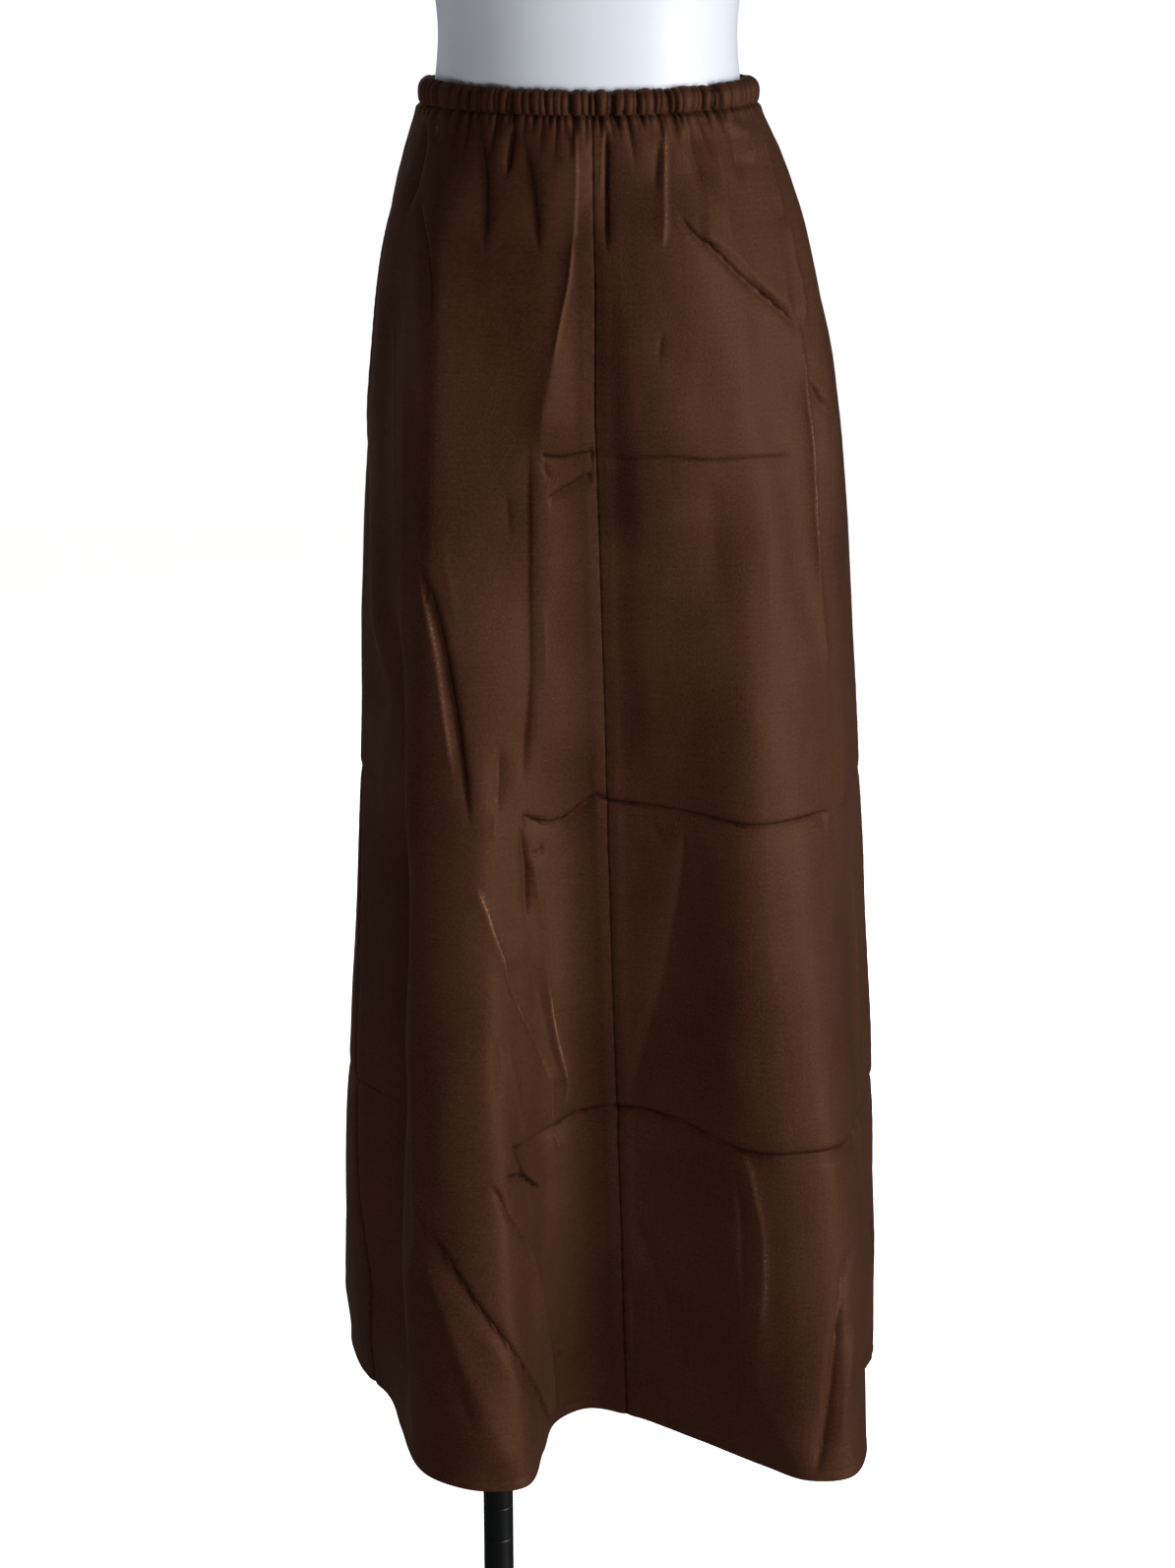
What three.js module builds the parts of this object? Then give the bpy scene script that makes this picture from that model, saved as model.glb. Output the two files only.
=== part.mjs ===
import * as THREE from "three";

// A maxi skirt with a gathered elastic waist, on a limbless dress form with a pole and a round base.
// Millimetres, +Z up. The front faces -Y, and +X is to the right of someone who faces the front.
// Left and right in the names below are those of that person.

// Heights
const BAND_TOP = 1350;
const BAND_HEIGHT = 18;
// The waist is a little higher at the sides than at the front and back
const SIDE_RISE = { most: 3.2, reach: 150 };
const HEM_DROP = 1031;

// Cloth
const CLOTH_WALL = 1.6;
const SEAM_GAP = 0.3;
const GATHERS = 72;
const COLUMNS_PER_GATHER = 2;
const GATHER_DEPTH = { least: 1.2, most: 1.8 };
const GATHER_REACH = { shortest: 34, longest: 120 };
const GOLDEN_TURN = 2.39996;

// Where the hanging folds start below the waistband's top, and how they open out
const FLARE_START = 225;
const FLARE_POWER = 1.12;
// Below the waist the cloth hangs flatter across the front than a plain oval, whose power is two
const FLAT_FRONT = { added: 0.7, from: 25, over: 150 };

// Stand
const FORM_COLUMNS = 48;
const FORM_CLEARANCE = 0.4;
const BUST = { up: 176, tall: 44, apart: 54, wide: 40, forward: 20, blend: 2 };
const POLE = { x: -75, radius: 12.5, segments: 32 };
const POLE_JOINT = { groove: 0.7, halfHeight: 1.2, upperDrop: 1167, lowerDrop: 1197 };
const BASE = { radius: 180, thickness: 8, chamfer: 2, segments: 72 };

// Level sections of the skirt: how far the cloth stands from the form's middle line on each side
const SECTIONS = [
  { drop: 0, left: 122, right: 124, front: 95, back: 95, seam: 2 },
  { drop: 21, left: 124, right: 126, front: 97, back: 96, seam: 3 },
  { drop: 50, left: 133, right: 139, front: 103, back: 104, seam: 4 },
  { drop: 90, left: 144.5, right: 153.5, front: 108, back: 113, seam: 4 },
  { drop: 140, left: 154, right: 167, front: 112, back: 122, seam: 5 },
  { drop: 210, left: 161.5, right: 183, front: 114, back: 128, seam: 5 },
  { drop: 300, left: 168, right: 192, front: 113, back: 128, seam: 6 },
  { drop: 620, left: 181, right: 205, front: 112, back: 129, seam: 7 },
  { drop: 850, left: 190, right: 212, front: 112, back: 131, seam: 8 },
  { drop: 1031, left: 182, right: 208, front: 110, back: 130, seam: 8 },
];

// The hem line, in order round from the front seam: the folds and the valleys between them
const HEM_POINTS = [
  { name: "front_seam", x: 31, forward: 94 },
  { name: "right_front_slope", x: 80, forward: 128 },
  { name: "right_front_slope_end", x: 134, forward: 172 },
  { name: "right_front_fold_start", x: 168, forward: 195 },
  { name: "right_front_fold", x: 202, forward: 190 },
  { name: "right_front_fold_end", x: 218, forward: 150 },
  { name: "right_side_valley", x: 212, forward: 70 },
  { name: "right_side_fold", x: 237, forward: -20 },
  { name: "right_side_fold_end", x: 208, forward: -88 },
  { name: "right_back_valley", x: 168, forward: -118 },
  { name: "right_back_fold", x: 142, forward: -196 },
  { name: "right_back_fold_end", x: 90, forward: -190 },
  { name: "middle_back_valley", x: 52, forward: -138 },
  { name: "left_back_fold_start", x: 6, forward: -160 },
  { name: "left_back_fold", x: -42, forward: -214 },
  { name: "left_back_fold_end", x: -88, forward: -190 },
  { name: "left_back_valley", x: -118, forward: -128 },
  { name: "left_side_fold_start", x: -168, forward: -122 },
  { name: "left_side_fold", x: -198, forward: -60 },
  { name: "left_side_fold_end", x: -186, forward: 16 },
  { name: "left_valley", x: -159, forward: 66 },
  { name: "left_front_fold_start", x: -147, forward: 118 },
  { name: "left_front_fold_out", x: -124, forward: 186 },
  { name: "left_front_fold", x: -82, forward: 211 },
  { name: "left_front_fold_in", x: -47, forward: 204 },
  { name: "left_front_wall", x: -34, forward: 152 },
  { name: "left_front_foot", x: -25, forward: 106 },
  { name: "front_recess", x: 0, forward: 84 },
];

// Soft folds below the gathers. Around is millimetres of cloth from the front seam, to the right.
const SOFT_FOLDS = [
  { name: "ridge_beside_seam", around: -22, drop: 30, endAround: -52, endDrop: 330, half: 17, height: 3 },
  { name: "trough_beside_seam", around: 8, drop: 50, endAround: 8, endDrop: 470, half: 26, height: -5 },
  { name: "right_long_ridge", around: 176, drop: 70, endAround: 212, endDrop: 560, half: 18, height: 4 },
  { name: "right_trough", around: 112, drop: 60, endAround: 160, endDrop: 380, half: 20, height: -4 },
  { name: "left_ridge", around: -112, drop: 60, endAround: -126, endDrop: 400, half: 20, height: 4 },
  { name: "left_trough", around: -160, drop: 150, endAround: -196, endDrop: 640, half: 18, height: -4 },
  { name: "left_valley", around: -204, drop: 420, endAround: -318, endDrop: 1000, half: 36, height: -12 },
  { name: "right_slope_crest", around: 104, drop: 420, endAround: 114, endDrop: 960, half: 34, height: 6 },
  { name: "back_middle_ridge", around: 372, drop: 40, endAround: 420, endDrop: 360, half: 20, height: 5 },
  { name: "back_right_trough", around: 300, drop: 50, endAround: 330, endDrop: 420, half: 20, height: -5 },
  { name: "back_left_ridge", around: -262, drop: 60, endAround: -296, endDrop: 430, half: 20, height: 5 },
  { name: "back_left_trough", around: -214, drop: 80, endAround: -232, endDrop: 460, half: 18, height: -4 },
];
const FOLD_END_FADE = 70;

// The rows of the skirt's grid, close together where the gathers fade
const ROW_DROPS = [
  BAND_HEIGHT + SEAM_GAP, 29, 43, 62, 86, 118, 160, 215, 290, 380, 480, 590, 700, 810, 920, HEM_DROP,
];

// The waistband's cut: height above its lower stitch line, and share of the way from form to outside
const BAND_CUT = [
  { up: 0, out: 0.9, gathered: 0.6 },
  { up: 5, out: 0.99, gathered: 1 },
  { up: 11, out: 1, gathered: 1 },
  { up: 15.5, out: 0.86, gathered: 1 },
  { up: 18, out: 0.46, gathered: 0.5 },
  { up: 16.4, out: 0.1, gathered: 0 },
  { up: 13, out: 0, gathered: 0 },
  { up: 0, out: 0, gathered: 0 },
];

// The dress form's sections. Rise is above the waistband's top; shift leans the figure to the right.
const FORM_SECTIONS = [
  { rise: -248, half: 118, front: 62, back: 68, shift: 4 },
  { rise: -243, half: 134, front: 78, back: 86, shift: 5 },
  { rise: -228, half: 145, front: 90, back: 98, shift: 7 },
  { rise: -200, half: 151, front: 98, back: 106, shift: 9 },
  { rise: -150, half: 150, front: 101, back: 112, shift: 8 },
  { rise: -100, half: 140, front: 98, back: 106, shift: 5 },
  { rise: -55, half: 125.5, front: 92, back: 96, shift: 2 },
  { rise: -21, half: 115, front: 87.6, back: 88.6, shift: 0 },
  { rise: 0, half: 110.6, front: 84.6, back: 85.6, shift: 0 },
  { rise: 40, half: 108, front: 81, back: 83, shift: 0 },
  { rise: 85, half: 114, front: 86, back: 84, shift: 0 },
  { rise: 130, half: 124, front: 93, back: 86, shift: 0 },
  { rise: 176, half: 133, front: 97, back: 90, shift: 0 },
  { rise: 225, half: 137, front: 92, back: 94, shift: 0 },
  { rise: 270, half: 144, front: 82, back: 92, shift: 0 },
  { rise: 306, half: 152, front: 71, back: 84, shift: 0 },
  { rise: 334, half: 151, front: 62, back: 75, shift: 0 },
  { rise: 354, half: 137, front: 56, back: 66, shift: 0 },
  { rise: 369, half: 110, front: 52, back: 60, shift: 0 },
  { rise: 385, half: 79, front: 48, back: 56, shift: 0 },
  { rise: 404, half: 59, front: 46, back: 53, shift: 0 },
  { rise: 430, half: 52, front: 45, back: 51, shift: 0 },
  { rise: 458, half: 50, front: 44, back: 50, shift: 0 },
  { rise: 466, half: 46, front: 40, back: 46, shift: 0 },
];

const SATIN = { color: 0x4a2e23, roughness: 0.42, metalness: 0 };
const FORM_SKIN = { color: 0xdce3ec, roughness: 0.4, metalness: 0 };
const BLACK_METAL = { color: 0x1b1e1d, roughness: 0.35, metalness: 0.8 };

const OVAL_SAMPLES = 720;
const SPAN_SAMPLES = 24;

// Reads one column of a table at a place between its rows, on a smooth curve through them
function readTable(rows, key, column, at) {
  const last = rows.length - 1;
  if (at <= rows[0][key]) {
    return rows[0][column];
  }
  if (at >= rows[last][key]) {
    return rows[last][column];
  }
  const upper = rows.findIndex((row) => row[key] >= at);
  const before = rows[upper - 1];
  const after = rows[upper];
  const slopeBetween = (low, high) => (high[column] - low[column]) / (high[key] - low[key]);
  const slopeIn = slopeBetween(rows[Math.max(upper - 2, 0)], after);
  const slopeOut = slopeBetween(before, rows[Math.min(upper + 1, last)]);
  const span = after[key] - before[key];
  const share = (at - before[key]) / span;
  const rest = 1 - share;
  const straight = rest * before[column] + share * after[column];
  const chord = after[column] - before[column];
  return straight + share * rest * (rest * (slopeIn * span - chord) + share * (chord - slopeOut * span));
}

function smoothStep(value) {
  const held = Math.min(1, Math.max(0, value));
  return held * held * (3 - 2 * held);
}

// Running length along a closed line of points, one entry more than there are points
function runningLengths(points) {
  const lengths = [0];
  points.forEach((point, index) => {
    const next = points[(index + 1) % points.length];
    lengths.push(lengths[index] + point.distanceTo(next));
  });
  return lengths;
}

// A point on a closed line at a share of its length
function pointAtShare(points, lengths, share) {
  const wrapped = share - Math.floor(share);
  const target = wrapped * lengths[points.length];
  let low = 0;
  let high = points.length;
  while (high - low > 1) {
    const middle = Math.floor((low + high) / 2);
    if (lengths[middle] <= target) {
      low = middle;
    } else {
      high = middle;
    }
  }
  const part = (target - lengths[low]) / (lengths[low + 1] - lengths[low]);
  return points[low].clone().lerp(points[(low + 1) % points.length], part);
}

function smoothClosedLine(points) {
  const curve = new THREE.CatmullRomCurve3(
    points.map((point) => new THREE.Vector3(point.x, point.y, 0)), true, "centripetal");
  return curve
    .getPoints(points.length * SPAN_SAMPLES)
    .slice(0, -1)
    .map((point) => new THREE.Vector2(point.x, point.y));
}

// A level oval with its own reach to each side. It starts at the middle of the front, and its front
// half is flatter the more its power is over two.
function sideOval(left, right, front, back, samples, frontPower = 2) {
  const points = [];
  for (let index = 0; index < samples; index += 1) {
    const turn = (2 * Math.PI * index) / samples;
    const power = Math.cos(turn) > 0 ? 2 / frontPower : 1;
    const sine = Math.sign(Math.sin(turn)) * Math.abs(Math.sin(turn)) ** power;
    const cosine = Math.sign(Math.cos(turn)) * Math.abs(Math.cos(turn)) ** power;
    const sideways = sine > 0 ? right * sine : left * sine;
    const backwards = cosine > 0 ? -front * cosine : -back * cosine;
    points.push(new THREE.Vector2(sideways, backwards));
  }
  return points;
}

function skirtOval(drop) {
  const [left, right, front, back, seam] = ["left", "right", "front", "back", "seam"]
    .map((column) => readTable(SECTIONS, "drop", column, drop));
  const frontPower = 2 + FLAT_FRONT.added * smoothStep((drop - FLAT_FRONT.from) / FLAT_FRONT.over);
  const points = sideOval(left, right, front, back, OVAL_SAMPLES, frontPower);
  const lengths = runningLengths(points);
  const seamTurn = Math.asin((seam / right) ** (frontPower / 2));
  const seamShare = lengths[Math.round((seamTurn / (2 * Math.PI)) * OVAL_SAMPLES)] / lengths[OVAL_SAMPLES];
  return { points, lengths, seamShare };
}

const HEM_TARGETS = HEM_POINTS.map((point) => new THREE.Vector2(point.x, -point.forward));
const HEM_LINE = smoothClosedLine(HEM_TARGETS);
const HEM_LENGTHS = runningLengths(HEM_LINE);
const HEM_SHARES = HEM_TARGETS.map(
  (target, index) => HEM_LENGTHS[index * SPAN_SAMPLES] / HEM_LENGTHS[HEM_LINE.length]);

function ovalAtHemShares(drop) {
  const { points, lengths, seamShare } = skirtOval(drop);
  return HEM_SHARES.map((share) => pointAtShare(points, lengths, share + seamShare));
}

const HEM_OVAL = ovalAtHemShares(HEM_DROP);
const HEM_OFFSETS = HEM_TARGETS.map((target, index) => target.clone().sub(HEM_OVAL[index]));

// The skirt's level line at a drop: the section's oval, pushed out by the growing folds
function hangingLine(drop) {
  const opened = Math.max(0, (drop - FLARE_START) / (HEM_DROP - FLARE_START)) ** FLARE_POWER;
  const controls = ovalAtHemShares(drop)
    .map((point, index) => point.addScaledVector(HEM_OFFSETS[index], opened));
  const points = smoothClosedLine(controls);
  return { points, lengths: runningLengths(points) };
}

// How far a soft fold lifts the cloth at a place. Its ends fade over the same length up and down.
function foldLift(fold, around, drop, round) {
  const share = (drop - fold.drop) / (fold.endDrop - fold.drop);
  const middle = fold.around + Math.min(1, Math.max(0, share)) * (fold.endAround - fold.around);
  const apart = around - middle;
  const across = (apart - round * Math.round(apart / round)) / fold.half;
  const fadeIn = smoothStep((drop - fold.drop) / FOLD_END_FADE + 0.5);
  const fadeOut = smoothStep((fold.endDrop - drop) / FOLD_END_FADE + 0.5);
  return fold.height * Math.exp(-across * across) * fadeIn * fadeOut;
}

// Gathers differ in depth and reach: the golden turn spreads them with no repeat that shows
function gatherLift(column, drop) {
  const gather = Math.floor(column / COLUMNS_PER_GATHER) % GATHERS;
  const liveliness = 0.5 + 0.5 * Math.sin(gather * GOLDEN_TURN);
  const { shortest, longest } = GATHER_REACH;
  const reach = shortest + (longest - shortest) * liveliness ** 2;
  const fade = 1 - smoothStep((drop - BAND_HEIGHT) / reach);
  const side = column % COLUMNS_PER_GATHER === 0 ? 1 : -1;
  const depth = GATHER_DEPTH.least + (GATHER_DEPTH.most - GATHER_DEPTH.least) * liveliness;
  return side * depth * fade;
}

// How much higher the cloth is than level at an angle from the middle of the front
function sideRise(turn, drop) {
  return SIDE_RISE.most * Math.sin(turn) ** 2 * (1 - smoothStep((drop - BAND_HEIGHT) / SIDE_RISE.reach));
}

const ALL_COLUMNS = GATHERS * COLUMNS_PER_GATHER;
const NORMAL_STEP = 0.5 / ALL_COLUMNS;

// One row of cloth: its outer and inner points between two columns, cut square beside each seam
function clothRow(drop, firstColumn, lastColumn) {
  const { points, lengths } = hangingLine(drop);
  const round = lengths[points.length];
  const outer = [];
  const inner = [];
  for (let column = firstColumn; column <= lastColumn; column += 1) {
    const share = column / ALL_COLUMNS;
    const before = pointAtShare(points, lengths, share - NORMAL_STEP);
    const after = pointAtShare(points, lengths, share + NORMAL_STEP);
    const along = after.sub(before).normalize();
    const outward = new THREE.Vector2(along.y, -along.x);
    const around = share * round;
    const lifts = SOFT_FOLDS.reduce((sum, fold) => sum + foldLift(fold, around, drop, round), 0);
    const place = pointAtShare(points, lengths, share)
      .addScaledVector(outward, lifts + gatherLift(column, drop));
    if (column === firstColumn) {
      place.addScaledVector(along, SEAM_GAP / 2);
    }
    if (column === lastColumn) {
      place.addScaledVector(along, -SEAM_GAP / 2);
    }
    const height = BAND_TOP - drop + sideRise(2 * Math.PI * share, drop);
    outer.push(new THREE.Vector3(place.x, place.y, height));
    place.addScaledVector(outward, -CLOTH_WALL);
    inner.push(new THREE.Vector3(place.x, place.y, height));
  }
  return { outer, inner };
}

function meshFrom(name, vertices, faces, look) {
  const geometry = new THREE.BufferGeometry();
  const numbers = vertices.flatMap((vertex) => [vertex.x, vertex.y, vertex.z]);
  geometry.setAttribute("position", new THREE.Float32BufferAttribute(numbers, 3));
  geometry.setIndex(faces.flat());
  geometry.computeVertexNormals();
  const mesh = new THREE.Mesh(geometry, new THREE.MeshStandardMaterial(look));
  mesh.name = name;
  return mesh;
}

function quad(faces, a, b, c, d) {
  faces.push([a, b, c], [a, c, d]);
}

// A panel of cloth with an outer wall, an inner wall and four edges
function clothPanel(name, firstColumn, lastColumn) {
  const rows = ROW_DROPS.map((drop) => clothRow(drop, firstColumn, lastColumn));
  const width = lastColumn - firstColumn + 1;
  const vertices = rows.flatMap((row) => row.outer).concat(rows.flatMap((row) => row.inner));
  const innerStart = rows.length * width;
  const outerAt = (row, column) => row * width + column;
  const innerAt = (row, column) => innerStart + row * width + column;
  const faces = [];
  for (let row = 0; row < rows.length - 1; row += 1) {
    for (let column = 0; column < width - 1; column += 1) {
      quad(faces, outerAt(row, column), outerAt(row + 1, column),
        outerAt(row + 1, column + 1), outerAt(row, column + 1));
      quad(faces, innerAt(row, column), innerAt(row, column + 1),
        innerAt(row + 1, column + 1), innerAt(row + 1, column));
    }
    quad(faces, outerAt(row, 0), innerAt(row, 0), innerAt(row + 1, 0), outerAt(row + 1, 0));
    quad(faces, outerAt(row, width - 1), outerAt(row + 1, width - 1),
      innerAt(row + 1, width - 1), innerAt(row, width - 1));
  }
  const lastRow = rows.length - 1;
  for (let column = 0; column < width - 1; column += 1) {
    quad(faces, outerAt(0, column), outerAt(0, column + 1), innerAt(0, column + 1), innerAt(0, column));
    quad(faces, outerAt(lastRow, column), innerAt(lastRow, column),
      innerAt(lastRow, column + 1), outerAt(lastRow, column + 1));
  }
  return meshFrom(name, vertices, faces, SATIN);
}

// The gathered casing: one closed cut carried round the form
function waistband() {
  const vertices = [];
  BAND_CUT.forEach((cut) => {
    const rise = cut.up - BAND_HEIGHT;
    const [half, front, back] = ["half", "front", "back"]
      .map((column) => readTable(FORM_SECTIONS, "rise", column, rise) + FORM_CLEARANCE);
    const [left, right, frontOut, backOut] = ["left", "right", "front", "back"]
      .map((column) => readTable(SECTIONS, "drop", column, -rise));
    for (let column = 0; column < ALL_COLUMNS; column += 1) {
      const turn = (2 * Math.PI * column) / ALL_COLUMNS;
      const sine = Math.sin(turn);
      const cosine = Math.cos(turn);
      const near = new THREE.Vector2(half * sine, cosine > 0 ? -front * cosine : -back * cosine);
      const far = new THREE.Vector2(
        sine > 0 ? right * sine : left * sine, cosine > 0 ? -frontOut * cosine : -backOut * cosine);
      const puff = gatherLift(column, BAND_HEIGHT) * cut.gathered;
      const place = near.clone().lerp(far, cut.out);
      const outward = far.sub(near).normalize();
      place.addScaledVector(outward, puff);
      const height = BAND_TOP + rise + sideRise(turn, 0);
      vertices.push(new THREE.Vector3(place.x, place.y, height));
    }
  });
  const faces = [];
  const at = (cut, column) => (cut % BAND_CUT.length) * ALL_COLUMNS + (column % ALL_COLUMNS);
  for (let cut = 0; cut < BAND_CUT.length; cut += 1) {
    for (let column = 0; column < ALL_COLUMNS; column += 1) {
      quad(faces, at(cut, column), at(cut, column + 1), at(cut + 1, column + 1), at(cut + 1, column));
    }
  }
  return meshFrom("waistband", vertices, faces, SATIN);
}

// How far the bust stands forward of the section's oval
function bustForward(x, rise) {
  const upShare = (rise - BUST.up) / BUST.tall;
  const rightShare = (x - BUST.apart) / BUST.wide;
  const leftShare = (x + BUST.apart) / BUST.wide;
  const across = Math.exp(-rightShare * rightShare) + Math.exp(-leftShare * leftShare);
  return BUST.forward * across * Math.exp(-upShare * upShare);
}

function dressForm() {
  const vertices = [];
  FORM_SECTIONS.forEach((section) => {
    sideOval(section.half, section.half, section.front, section.back, FORM_COLUMNS).forEach((point) => {
      const frontness = Math.min(1, Math.max(0, (-BUST.blend * point.y) / section.front));
      const bust = bustForward(point.x, section.rise) * frontness;
      vertices.push(new THREE.Vector3(point.x + section.shift, point.y - bust, BAND_TOP + section.rise));
    });
  });
  const lowest = FORM_SECTIONS[0];
  const highest = FORM_SECTIONS[FORM_SECTIONS.length - 1];
  const bottomMiddle = vertices.push(new THREE.Vector3(lowest.shift, 0, BAND_TOP + lowest.rise)) - 1;
  const topMiddle = vertices.push(new THREE.Vector3(0, 0, BAND_TOP + highest.rise)) - 1;
  const at = (section, column) => section * FORM_COLUMNS + (column % FORM_COLUMNS);
  const faces = [];
  for (let column = 0; column < FORM_COLUMNS; column += 1) {
    for (let section = 0; section < FORM_SECTIONS.length - 1; section += 1) {
      quad(faces, at(section, column), at(section, column + 1),
        at(section + 1, column + 1), at(section + 1, column));
    }
    faces.push([bottomMiddle, at(0, column + 1), at(0, column)]);
    faces.push([topMiddle, at(FORM_SECTIONS.length - 1, column), at(FORM_SECTIONS.length - 1, column + 1)]);
  }
  return meshFrom("dress_form", vertices, faces, FORM_SKIN);
}

// Turns a profile of radius and height about an upright axis
function turned(name, profile, segments, x, look) {
  const points = profile.map(([radius, height]) => new THREE.Vector2(radius, height));
  const geometry = new THREE.LatheGeometry(points, segments);
  geometry.rotateX(Math.PI / 2);
  geometry.translate(x, 0, 0);
  const mesh = new THREE.Mesh(geometry, new THREE.MeshStandardMaterial(look));
  mesh.name = name;
  return mesh;
}

function pole() {
  const foot = BASE.thickness + SEAM_GAP;
  const head = BAND_TOP + FORM_SECTIONS[0].rise - SEAM_GAP;
  const groove = POLE.radius - POLE_JOINT.groove;
  const profile = [[0, foot], [POLE.radius, foot]];
  [POLE_JOINT.lowerDrop, POLE_JOINT.upperDrop].forEach((drop) => {
    const height = BAND_TOP - drop;
    profile.push([POLE.radius, height - POLE_JOINT.halfHeight]);
    profile.push([groove, height]);
    profile.push([POLE.radius, height + POLE_JOINT.halfHeight]);
  });
  profile.push([POLE.radius, head], [0, head]);
  return turned("pole", profile, POLE.segments, POLE.x, BLACK_METAL);
}

function basePlate() {
  const { radius, thickness, chamfer, segments } = BASE;
  const profile = [
    [0, 0],
    [radius - chamfer, 0],
    [radius, chamfer],
    [radius, thickness - chamfer],
    [radius - chamfer, thickness],
    [0, thickness],
  ];
  return turned("base_plate", profile, segments, 0, BLACK_METAL);
}

const RIGHT_SIDE_SEAM = ALL_COLUMNS / 4;
const LEFT_SIDE_SEAM = (ALL_COLUMNS * 3) / 4;

const part = new THREE.Group();
part.name = "maxi_skirt_on_dress_form";
part.add(
  waistband(),
  clothPanel("front_panel_right", 0, RIGHT_SIDE_SEAM),
  clothPanel("back_panel", RIGHT_SIDE_SEAM, LEFT_SIDE_SEAM),
  clothPanel("front_panel_left", LEFT_SIDE_SEAM, ALL_COLUMNS),
  dressForm(),
  pole(),
  basePlate(),
);

export default part;
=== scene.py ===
# %% [markdown]
# # A satin maxi skirt on a dress form
#
# A dark brown polyester satin skirt hangs from a gathered elastic waistband. It rests on a smooth
# white form with no limbs, on a black pole and a round base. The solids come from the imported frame.
# This lesson adds the cloth's finer form, its sewing and the finishes. Sizes below are millimetres
# until a mesh is made, and the front faces -Y.

# %% Load the frame
import math
import bpy
import numpy as np
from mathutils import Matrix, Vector


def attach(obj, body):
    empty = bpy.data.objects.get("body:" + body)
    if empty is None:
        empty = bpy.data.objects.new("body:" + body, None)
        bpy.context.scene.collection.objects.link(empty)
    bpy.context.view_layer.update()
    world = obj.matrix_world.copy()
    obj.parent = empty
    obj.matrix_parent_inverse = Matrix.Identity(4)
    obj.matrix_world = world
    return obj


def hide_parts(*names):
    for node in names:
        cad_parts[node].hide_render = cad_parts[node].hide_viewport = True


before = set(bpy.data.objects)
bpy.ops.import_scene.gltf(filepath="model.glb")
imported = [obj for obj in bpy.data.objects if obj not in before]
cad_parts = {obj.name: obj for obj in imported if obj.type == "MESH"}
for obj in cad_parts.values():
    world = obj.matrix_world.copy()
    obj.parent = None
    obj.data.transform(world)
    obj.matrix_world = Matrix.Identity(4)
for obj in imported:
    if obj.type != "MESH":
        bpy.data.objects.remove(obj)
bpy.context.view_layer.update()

MM = 0.001
scene = bpy.context.scene

# %% [markdown]
# ## The camera
#
# The waistband's ends curve up and the hem's points hang down in the picture, so the camera looks
# down on the skirt, 17 degrees, from just over two metres. Both give the focal length.

# %% Camera
BAND_TOP = 1350.0
CAMERA = {"distance": 2.19408, "above_band": 0.14678, "pitch": 17.2336, "focal_px": 3000.0}
IMAGE_HEIGHT_PX = 1593
SENSOR_MM = 36.0

camera_data = bpy.data.cameras.new("camera")
camera_data.sensor_width = SENSOR_MM
camera_data.lens = CAMERA["focal_px"] / IMAGE_HEIGHT_PX * SENSOR_MM
camera_data.clip_end = 100.0
camera = bpy.data.objects.new("camera", camera_data)
scene.collection.objects.link(camera)
camera.location = (0.0, -CAMERA["distance"], BAND_TOP * MM + CAMERA["above_band"])
camera.rotation_euler = (math.radians(90.0 - CAMERA["pitch"]), 0.0, 0.0)
scene.camera = camera
print("lens", round(camera_data.lens, 1), "mm")

# %% [markdown]
# ## Small tools
#
# One function turns a hex colour into linear light. One adds a shader node with its settings and
# links, and one gives a colour ramp its stops. The rest make mesh objects from points in millimetres.

# %% Tools
def linear(hex_colour):
    channels = [int(hex_colour[start:start + 2], 16) / 255 for start in (0, 2, 4)]
    light = [c / 12.92 if c <= 0.04045 else ((c + 0.055) / 1.055) ** 2.4 for c in channels]
    return (*light, 1.0)


def set_node(material, node, settings=None, values=None, links=None):
    """Sets a node's options, its input values and its links. A link maps an input to (node, output)."""
    for name, value in (settings or {}).items():
        setattr(node, name, value)
    for name, value in (values or {}).items():
        node.inputs[name].default_value = value
    for name, (source, output) in (links or {}).items():
        material.node_tree.links.new(source.outputs[output], node.inputs[name])
    return node


def add_node(material, kind, settings=None, values=None, links=None):
    return set_node(material, material.node_tree.nodes.new(kind), settings, values, links)


def set_stops(ramp, stops):
    """Gives a colour ramp its stops, each a position and a hex colour."""
    elements = ramp.color_ramp.elements
    for element, (position, colour) in zip((elements[0], elements[1]), (stops[0], stops[-1])):
        element.position = position
        element.color = linear(colour)
    for position, colour in stops[1:-1]:
        elements.new(position).color = linear(colour)


def new_material(name):
    material = bpy.data.materials.new(name)
    material.use_nodes = True
    shader = material.node_tree.nodes["Principled BSDF"]
    return material, shader


def mesh_object(name, points, faces, material, uv=None):
    """Points in mm, faces as lists of indices, uv one pair a point."""
    mesh = bpy.data.meshes.new(name)
    mesh.from_pydata((np.asarray(points) * MM).tolist(), [], faces)
    mesh.materials.append(material)
    mesh.polygons.foreach_set("use_smooth", [True] * len(mesh.polygons))
    if uv is not None:
        layer = mesh.uv_layers.new(name="cloth")
        corner = np.empty(len(mesh.loops), dtype=np.int32)
        mesh.loops.foreach_get("vertex_index", corner)
        layer.data.foreach_set("uv", np.asarray(uv, dtype=np.float32)[corner].ravel())
    mesh.update()
    piece = bpy.data.objects.new(name, mesh)
    scene.collection.objects.link(piece)
    return piece


def triangles(piece):
    return sum(len(face.vertices) - 2 for face in piece.data.polygons)


def quads(a, b, c, d):
    """Four-cornered faces from four grids of indices."""
    return np.stack([corner.ravel() for corner in (a, b, c, d)], axis=1).tolist()


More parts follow.
